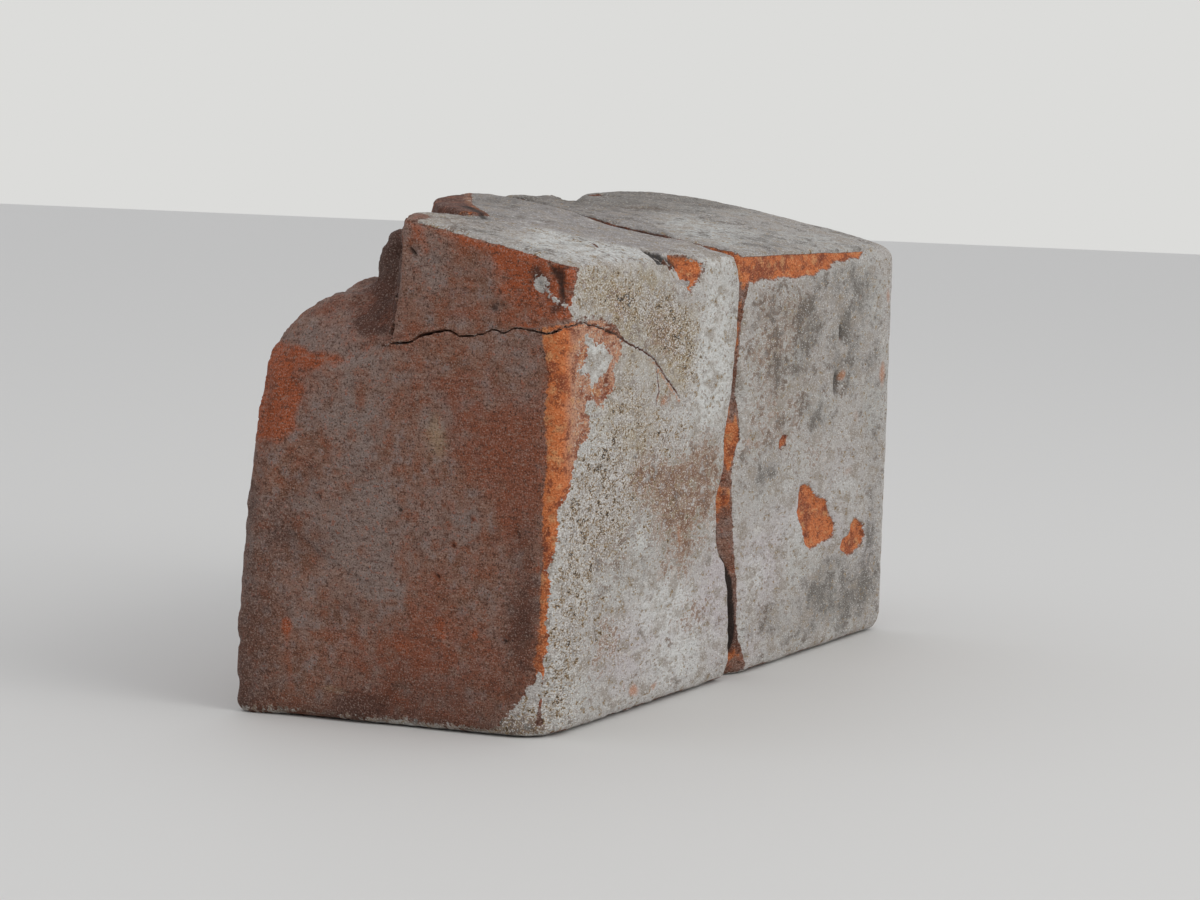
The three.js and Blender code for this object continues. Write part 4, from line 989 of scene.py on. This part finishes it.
def half(node_name, cracks):
    """One half of the brick, from its solid to its weathered skin."""
    points, quads = sound_shape(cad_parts[node_name])
    if volume(points, quads) < 0:
        quads = quads[:, ::-1]
    points = relaxed(points, quads, 3)
    normals = outward(points, quads)
    rear = node_name == "rear_half"
    face = faces_of(points, normals, rear)
    paint = painted(points, face, rear)
    points = carved(points, normals, face, paint)
    if not rear:
        points = rim_pulled(points, face)
    piece = mesh_object(f"{node_name}_clay", points, quads.tolist(), paint)
    if cracks:
        skin = BVHTree.FromPolygons(points.tolist(), quads.tolist())
        for k, (path, widths, deep) in enumerate(cracks):
            wedge = crack(f"wedge_{k}", skin, path, widths, deep, 101 + 11 * k)
            cut(piece, wedge)
    return piece


def cut(piece, wedge):
    """The wedge taken out of the piece."""
    tool = piece.modifiers.new("crack", "BOOLEAN")
    tool.operation = "DIFFERENCE"
    tool.solver = "MANIFOLD"
    tool.object = wedge
    bpy.context.view_layer.update()
    graph = bpy.context.evaluated_depsgraph_get()
    shaped = bpy.data.meshes.new_from_object(
        piece.evaluated_get(graph), preserve_all_data_layers=True, depsgraph=graph
    )
    piece.modifiers.remove(tool)
    piece.data = shaped
    bpy.data.objects.remove(wedge)


FIELDS = (
    "rust", "ember", "ash", "umber", "beige", "soot", "stain", "spots", "grit", "moss", "wash", "white",
    "lilac", "hollow", "dust", "lime", "fresh",
)


# ---- fired clay and lime ---------------------------------------------------------------------


def linear(code):
    """An sRGB hex colour as linear RGBA."""
    parts = [int(code[k : k + 2], 16) / 255 for k in (1, 3, 5)]
    return [part / 12.92 if part <= 0.04045 else ((part + 0.055) / 1.055) ** 2.4 for part in parts] + [1]


def add(tree, kind, links=None, **settings):
    """One node, with its settings, and its inputs set to values or linked to sockets."""
    made = tree.nodes.new(kind)
    for key, value in settings.items():
        setattr(made, key, value)
    for key, value in (links or {}).items():
        if isinstance(value, bpy.types.NodeSocket):
            tree.links.new(value, made.inputs[key])
        else:
            made.inputs[key].default_value = value
    return made


def coats(tree, base, layers):
    """The layers laid over the base in turn: colour or socket, pattern, from, to, share."""
    surface = linear(base) if isinstance(base, str) else base
    for colour, pattern, start, end, share in layers:
        weight = add(tree, "ShaderNodeMapRange", {
            "Value": pattern, "From Min": start, "From Max": end, "To Max": share,
        }, interpolation_type="SMOOTHSTEP").outputs[0]
        colour = linear(colour) if isinstance(colour, str) else colour
        surface = add(tree, "ShaderNodeMix", {
            0: weight, 6: surface, 7: colour,
        }, data_type="RGBA").outputs[2]
    return surface


def patterns(tree, seed):
    """What is worn into the mesh, and noise, drag marks and grains in millimetres to break it up."""
    # everything is drawn out along the brick's length, the way it was pressed and struck off
    place = add(tree, "ShaderNodeTexCoord").outputs["Object"]
    place = add(tree, "ShaderNodeVectorMath", {
        0: place, 1: (1 / MM, 0.5 / MM, 1 / MM), 2: (seed,) * 3,
    }, operation="MULTIPLY_ADD").outputs[0]
    field = {key: add(tree, "ShaderNodeAttribute", attribute_name=key).outputs["Fac"] for key in FIELDS}

    # noise by the size of its lumps: clouds of firing, blotches, crumbs, grit and the finest sand,
    # which is about 0.2 mm in the clay and is drawn at 0.35 mm so that it shows
    noise = {}
    for size, detail, harsh in (
        (15, 4, 0.6), (5, 3, 0.6), (2.4, 3, 0.65), (1.2, 2, 0.65), (0.6, 2, 0.75), (0.35, 1, 0.6),
    ):
        noise[size] = add(tree, "ShaderNodeTexNoise", {
            "Vector": place, "Scale": 1 / size, "Detail": detail, "Roughness": harsh,
        }).outputs["Fac"]

    # drag marks of the mould, about 1 mm high, short and nearly level
    dragged = add(tree, "ShaderNodeVectorMath", {
        0: place, 1: (0.28, 0.4, 1.0),
    }, operation="MULTIPLY").outputs[0]
    drag = add(tree, "ShaderNodeTexNoise", {
        "Vector": dragged, "Scale": 1 / 0.9, "Detail": 3, "Roughness": 0.6,
    }).outputs["Fac"]

    # grains by their spacing: round, and larger where their chance is higher
    grains = {}
    for spacing in (0.7, 1.0, 2.4):
        cells = add(tree, "ShaderNodeTexVoronoi", {"Vector": place, "Scale": 1 / spacing})
        chance = add(tree, "ShaderNodeSeparateColor", {"Color": cells.outputs["Color"]})
        grains[spacing] = add(tree, "ShaderNodeMath", {
            0: cells.outputs["Distance"], 1: -0.5, 2: chance.outputs["Green"],
        }, operation="MULTIPLY_ADD").outputs[0]
    return field, noise, drag, grains


def fired_clay(name, seed, ragged):
    """Soft-fired hand-moulded clay, sanded in the mould: matt, red-brown under a mauve bloom,
    gritty with pale and dark sand, bright orange where it is broken afresh, and under lime that
    has dried in a crust, gone granular and taken up soot."""
    material = bpy.data.materials.new(name)
    material.use_nodes = True
    tree = material.node_tree
    tree.nodes.clear()
    field, noise, drag, grains = patterns(tree, seed)

    # patterns added up by weight: dust and sand break up into specks, stains and soot into
    # blotches, soot-filled pits gather where the lime is granular, and the coats' edges wander
    mixed = {}
    for key, total, parts in (
        ("dusted", noise[0.6], [(field["dust"], 0.4)]),
        ("sandy", noise[0.35], [(field["grit"], 0.1)]),
        ("pocked", noise[0.35], [(field["grit"], -0.1)]),
        ("stained", field["stain"], [(noise[2.4], 2.4), (noise[1.2], 1.6), (noise[5], 1.6)]),
        ("sooted", field["soot"], [(noise[5], 2.6), (noise[2.4], 1.8), (noise[1.2], 0.8)]),
        ("pits", noise[0.6], [(noise[1.2], 0.55), (noise[2.4], 0.8), (field["grit"], -0.34)]),
        ("fresh_edge", field["fresh"], [(noise[1.2], ragged / 2)]),
        ("lime_edge", field["lime"], [(noise[1.2], ragged)]),
        ("gritty", noise[1.2], [(noise[0.6], 0.6)]),
    ):
        for pattern, weight in parts:
            total = add(tree, "ShaderNodeMath", {
                0: pattern, 1: weight, 2: total,
            }, operation="MULTIPLY_ADD").outputs[0]
        mixed[key] = total

    clay = coats(tree, "#7e5b4b", [
        ("#7f6a61", noise[15], 0.44, 0.6, 0.7),
        ("#65422f", noise[5], 0.5, 0.36, 0.6),
        ("#7f4a33", noise[2.4], 0.47, 0.35, 0.8),
        ("#80706a", noise[2.4], 0.51, 0.64, 0.8),
        ("#7c452f", field["rust"], 0.1, 0.9, 0.85),
        ("#80726b", field["ash"], 0.12, 0.9, 0.75),
        ("#9c8468", field["beige"], 0.1, 1.0, 0.75),
        ("#964a27", field["ember"], 0.15, 0.9, 0.94),
        ("#91786a", drag, 0.54, 0.68, 0.5),
        ("#4f3126", drag, 0.46, 0.32, 0.55),
        ("#8f4c31", noise[1.2], 0.55, 0.67, 0.55),
        ("#4a3128", field["umber"], 0.1, 1.0, 0.85),
        ("#4e362c", noise[1.2], 0.45, 0.32, 0.65),
        ("#38251e", noise[0.35], 0.44, 0.32, 0.75),
        ("#a08b80", noise[0.35], 0.56, 0.7, 0.5),
        ("#2f201b", grains[1.0], 0.86, 0.92, 0.7),
        ("#a08f84", grains[0.7], 0.92, 0.98, 0.2),
        ("#a5593a", grains[2.4], 0.9, 0.94, 0.5),
    ])
    fresh = coats(tree, "#b56538", [
        ("#a3806b", field["dust"], 0.1, 0.8, 0.8),
        ("#7e4029", noise[5], 0.52, 0.38, 0.85),
        ("#b88459", noise[2.4], 0.53, 0.66, 0.7),
        ("#6c3522", noise[2.4], 0.47, 0.35, 0.75),
        ("#743f2c", field["rust"], 0.3, 1.0, 0.35),
        ("#5d3b2b", field["umber"], 0.1, 1.0, 0.85),
        ("#4f2c20", noise[0.35], 0.44, 0.32, 0.65),
        ("#d39b70", noise[0.35], 0.56, 0.7, 0.5),
        ("#4a2f24", grains[1.0], 0.84, 0.92, 0.5),
        ("#b3a89b", mixed["dusted"], 0.93, 1.06, 0.8),
    ])

    lime = coats(tree, "#a8a39e", [
        ("#b0aea9", noise[15], 0.42, 0.6, 0.8),
        ("#968667", field["moss"], 0.15, 1.0, 0.7),
        ("#b1a8a9", field["lilac"], 0.1, 1.0, 0.8),
        ("#c5c5c1", field["white"], 0.1, 0.9, 0.85),
        ("#888280", field["wash"], 0.1, 1.0, 0.8),
        ("#8a8075", noise[5], 0.51, 0.38, 0.7),
        ("#8a6d57", mixed["stained"], 3.12, 3.48, 0.85),
        ("#704c36", mixed["stained"], 3.55, 3.9, 0.8),
        ("#c6c3be", noise[2.4], 0.54, 0.68, 0.65),
        ("#83796b", noise[2.4], 0.47, 0.33, 0.6),
        ("#5e5851", mixed["sooted"], 2.6, 3.9, 0.88),
        ("#a87250", field["spots"], 0.25, 0.8, 0.75),
        ("#776d5f", noise[1.2], 0.43, 0.32, 0.38),
        ("#927850", mixed["pits"], 0.91, 0.78, 0.85),
        ("#67503a", mixed["pits"], 0.79, 0.69, 0.85),
        ("#2b241e", mixed["pits"], 0.71, 0.62, 0.9),
        ("#574e44", mixed["pocked"], 0.39, 0.28, 0.5),
        ("#d8d6d2", mixed["sandy"], 0.6, 0.72, 0.6),
    ])

    # the noise is one half on average, so a coat's edge wanders about the place where it is worn off
    surface = coats(tree, clay, [
        (fresh, mixed["fresh_edge"], ragged / 4 - 0.3, ragged / 4 + 0.4, 1.0),
        (lime, mixed["lime_edge"], ragged / 2 - 0.12, ragged / 2 + 0.3, 1.0),
        # near black where shade is painted: in pinholes, slots, scores, cracks and gaps
        ("#1c1511", field["hollow"], 0.1, 1.0, 0.92),
    ])
    bump = add(tree, "ShaderNodeBump", {
        "Strength": 0.8, "Distance": 0.5 * MM, "Height": mixed["gritty"],
    }).outputs[0]
    shader = add(tree, "ShaderNodeBsdfPrincipled", {
        "Base Color": surface, "Roughness": 0.92, "IOR": 1.5, "Specular IOR Level": 0.3, "Normal": bump,
    })
    add(tree, "ShaderNodeOutputMaterial", {"Surface": shader.outputs[0]})
    return material


front = half("front_half", [
    (CORNER_CRACK, (0.3, 0.9, 0.5, 0.35, 0.45, 0.35, 0.45, 0.5, 0.45, 0.5, 0.5, 0.4), 7),
    (CORNER_NOTCH, (0.8, 2.0, 2.4, 1.6, 0.5), 7),
    (CRACK_FORK, (0.5, 0.5, 0.35), 3),
    (SLOT_CRACK, (1.0, 2.0, 1.8, 1.6, 0.6), 3),
    (TOP_CRACK, (0.3, 0.9, 0.2), 1.6),
])
rear = half("rear_half", [])

for piece, node_name, slot, seed, ragged in (
    (front, "front_half", "fired_clay_front", 3.1, 5.0),
    (rear, "rear_half", "fired_clay_rear", 47.7, 2.0),
):
    piece.data.materials.clear()
    piece.data.materials.append(fired_clay(f"sanded_{slot}", seed, ragged))
    for face in piece.data.polygons:
        face.use_smooth = True
        face.material_index = 0
    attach(piece, "root")
    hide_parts(node_name)


# ---- floor, light and camera -----------------------------------------------------------------

def plain(name, code, roughness):
    """A material of one colour all over."""
    material = bpy.data.materials.new(name)
    material.use_nodes = True
    shader = material.node_tree.nodes["Principled BSDF"]
    shader.inputs["Base Color"].default_value = linear(code)
    shader.inputs["Roughness"].default_value = roughness
    return material


FLOOR_REACH = 4000
corners = np.array([(-1, -1, 0), (1, -1, 0), (1, 1, 0), (-1, 1, 0)]) * FLOOR_REACH
floor = mesh_object("floor", corners, [(0, 1, 2, 3)], {})
floor.data.materials.append(plain("painted_board", "#cfcdc9", 0.7))

world = bpy.data.worlds.new("soft_room")
world.use_nodes = True
bpy.context.scene.world = world
room = world.node_tree
room.nodes.clear()
ray = add(room, "ShaderNodeLightPath").outputs["Is Camera Ray"]
fill = add(room, "ShaderNodeBackground", {"Color": linear("#f4f6fa"), "Strength": 0.86})
back = add(room, "ShaderNodeBackground", {"Color": linear("#dcdcda"), "Strength": 1.0})
both = add(room, "ShaderNodeMixShader", {0: ray, 1: fill.outputs[0], 2: back.outputs[0]})
add(room, "ShaderNodeOutputWorld", {"Surface": both.outputs[0]})


def lamp(name, place, aim, size, power):
    """A soft square lamp, aimed at a point. Places and size in metres."""
    light = bpy.data.lights.new(name, "AREA")
    light.size = size
    light.energy = power
    holder = bpy.data.objects.new(name, light)
    holder.location = place
    holder.rotation_euler = (Vector(aim) - Vector(place)).to_track_quat("-Z", "Y").to_euler()
    bpy.context.scene.collection.objects.link(holder)


lamp("window", (1.5, -0.35, 1.0), (0, 0, 0.05), 1.2, 12)

LENS = 112.62
CAMERA_PLACE = (0.35296, -0.84708, 0.13016)
AZIMUTH, PITCH, ROLL = np.radians((22.65, 4.785, 1.838))
ahead = Vector((-np.sin(AZIMUTH) * np.cos(PITCH), np.cos(AZIMUTH) * np.cos(PITCH), -np.sin(PITCH)))
right = Vector((np.cos(AZIMUTH), np.sin(AZIMUTH), 0))
up = right.cross(ahead)
camera = bpy.data.cameras.new("camera")
camera.sensor_width = 36
camera.lens = LENS
camera.clip_start = 0.05
camera.clip_end = 50
holder = bpy.data.objects.new("camera", camera)
bpy.context.scene.collection.objects.link(holder)
side_axis = right * np.cos(ROLL) + up * np.sin(ROLL)
up_axis = up * np.cos(ROLL) - right * np.sin(ROLL)
holder.matrix_world = Matrix.Translation(CAMERA_PLACE) @ Matrix(
    (side_axis, up_axis, -ahead)
).transposed().to_4x4()
bpy.context.scene.camera = holder
bpy.context.scene.view_settings.view_transform = "Standard"
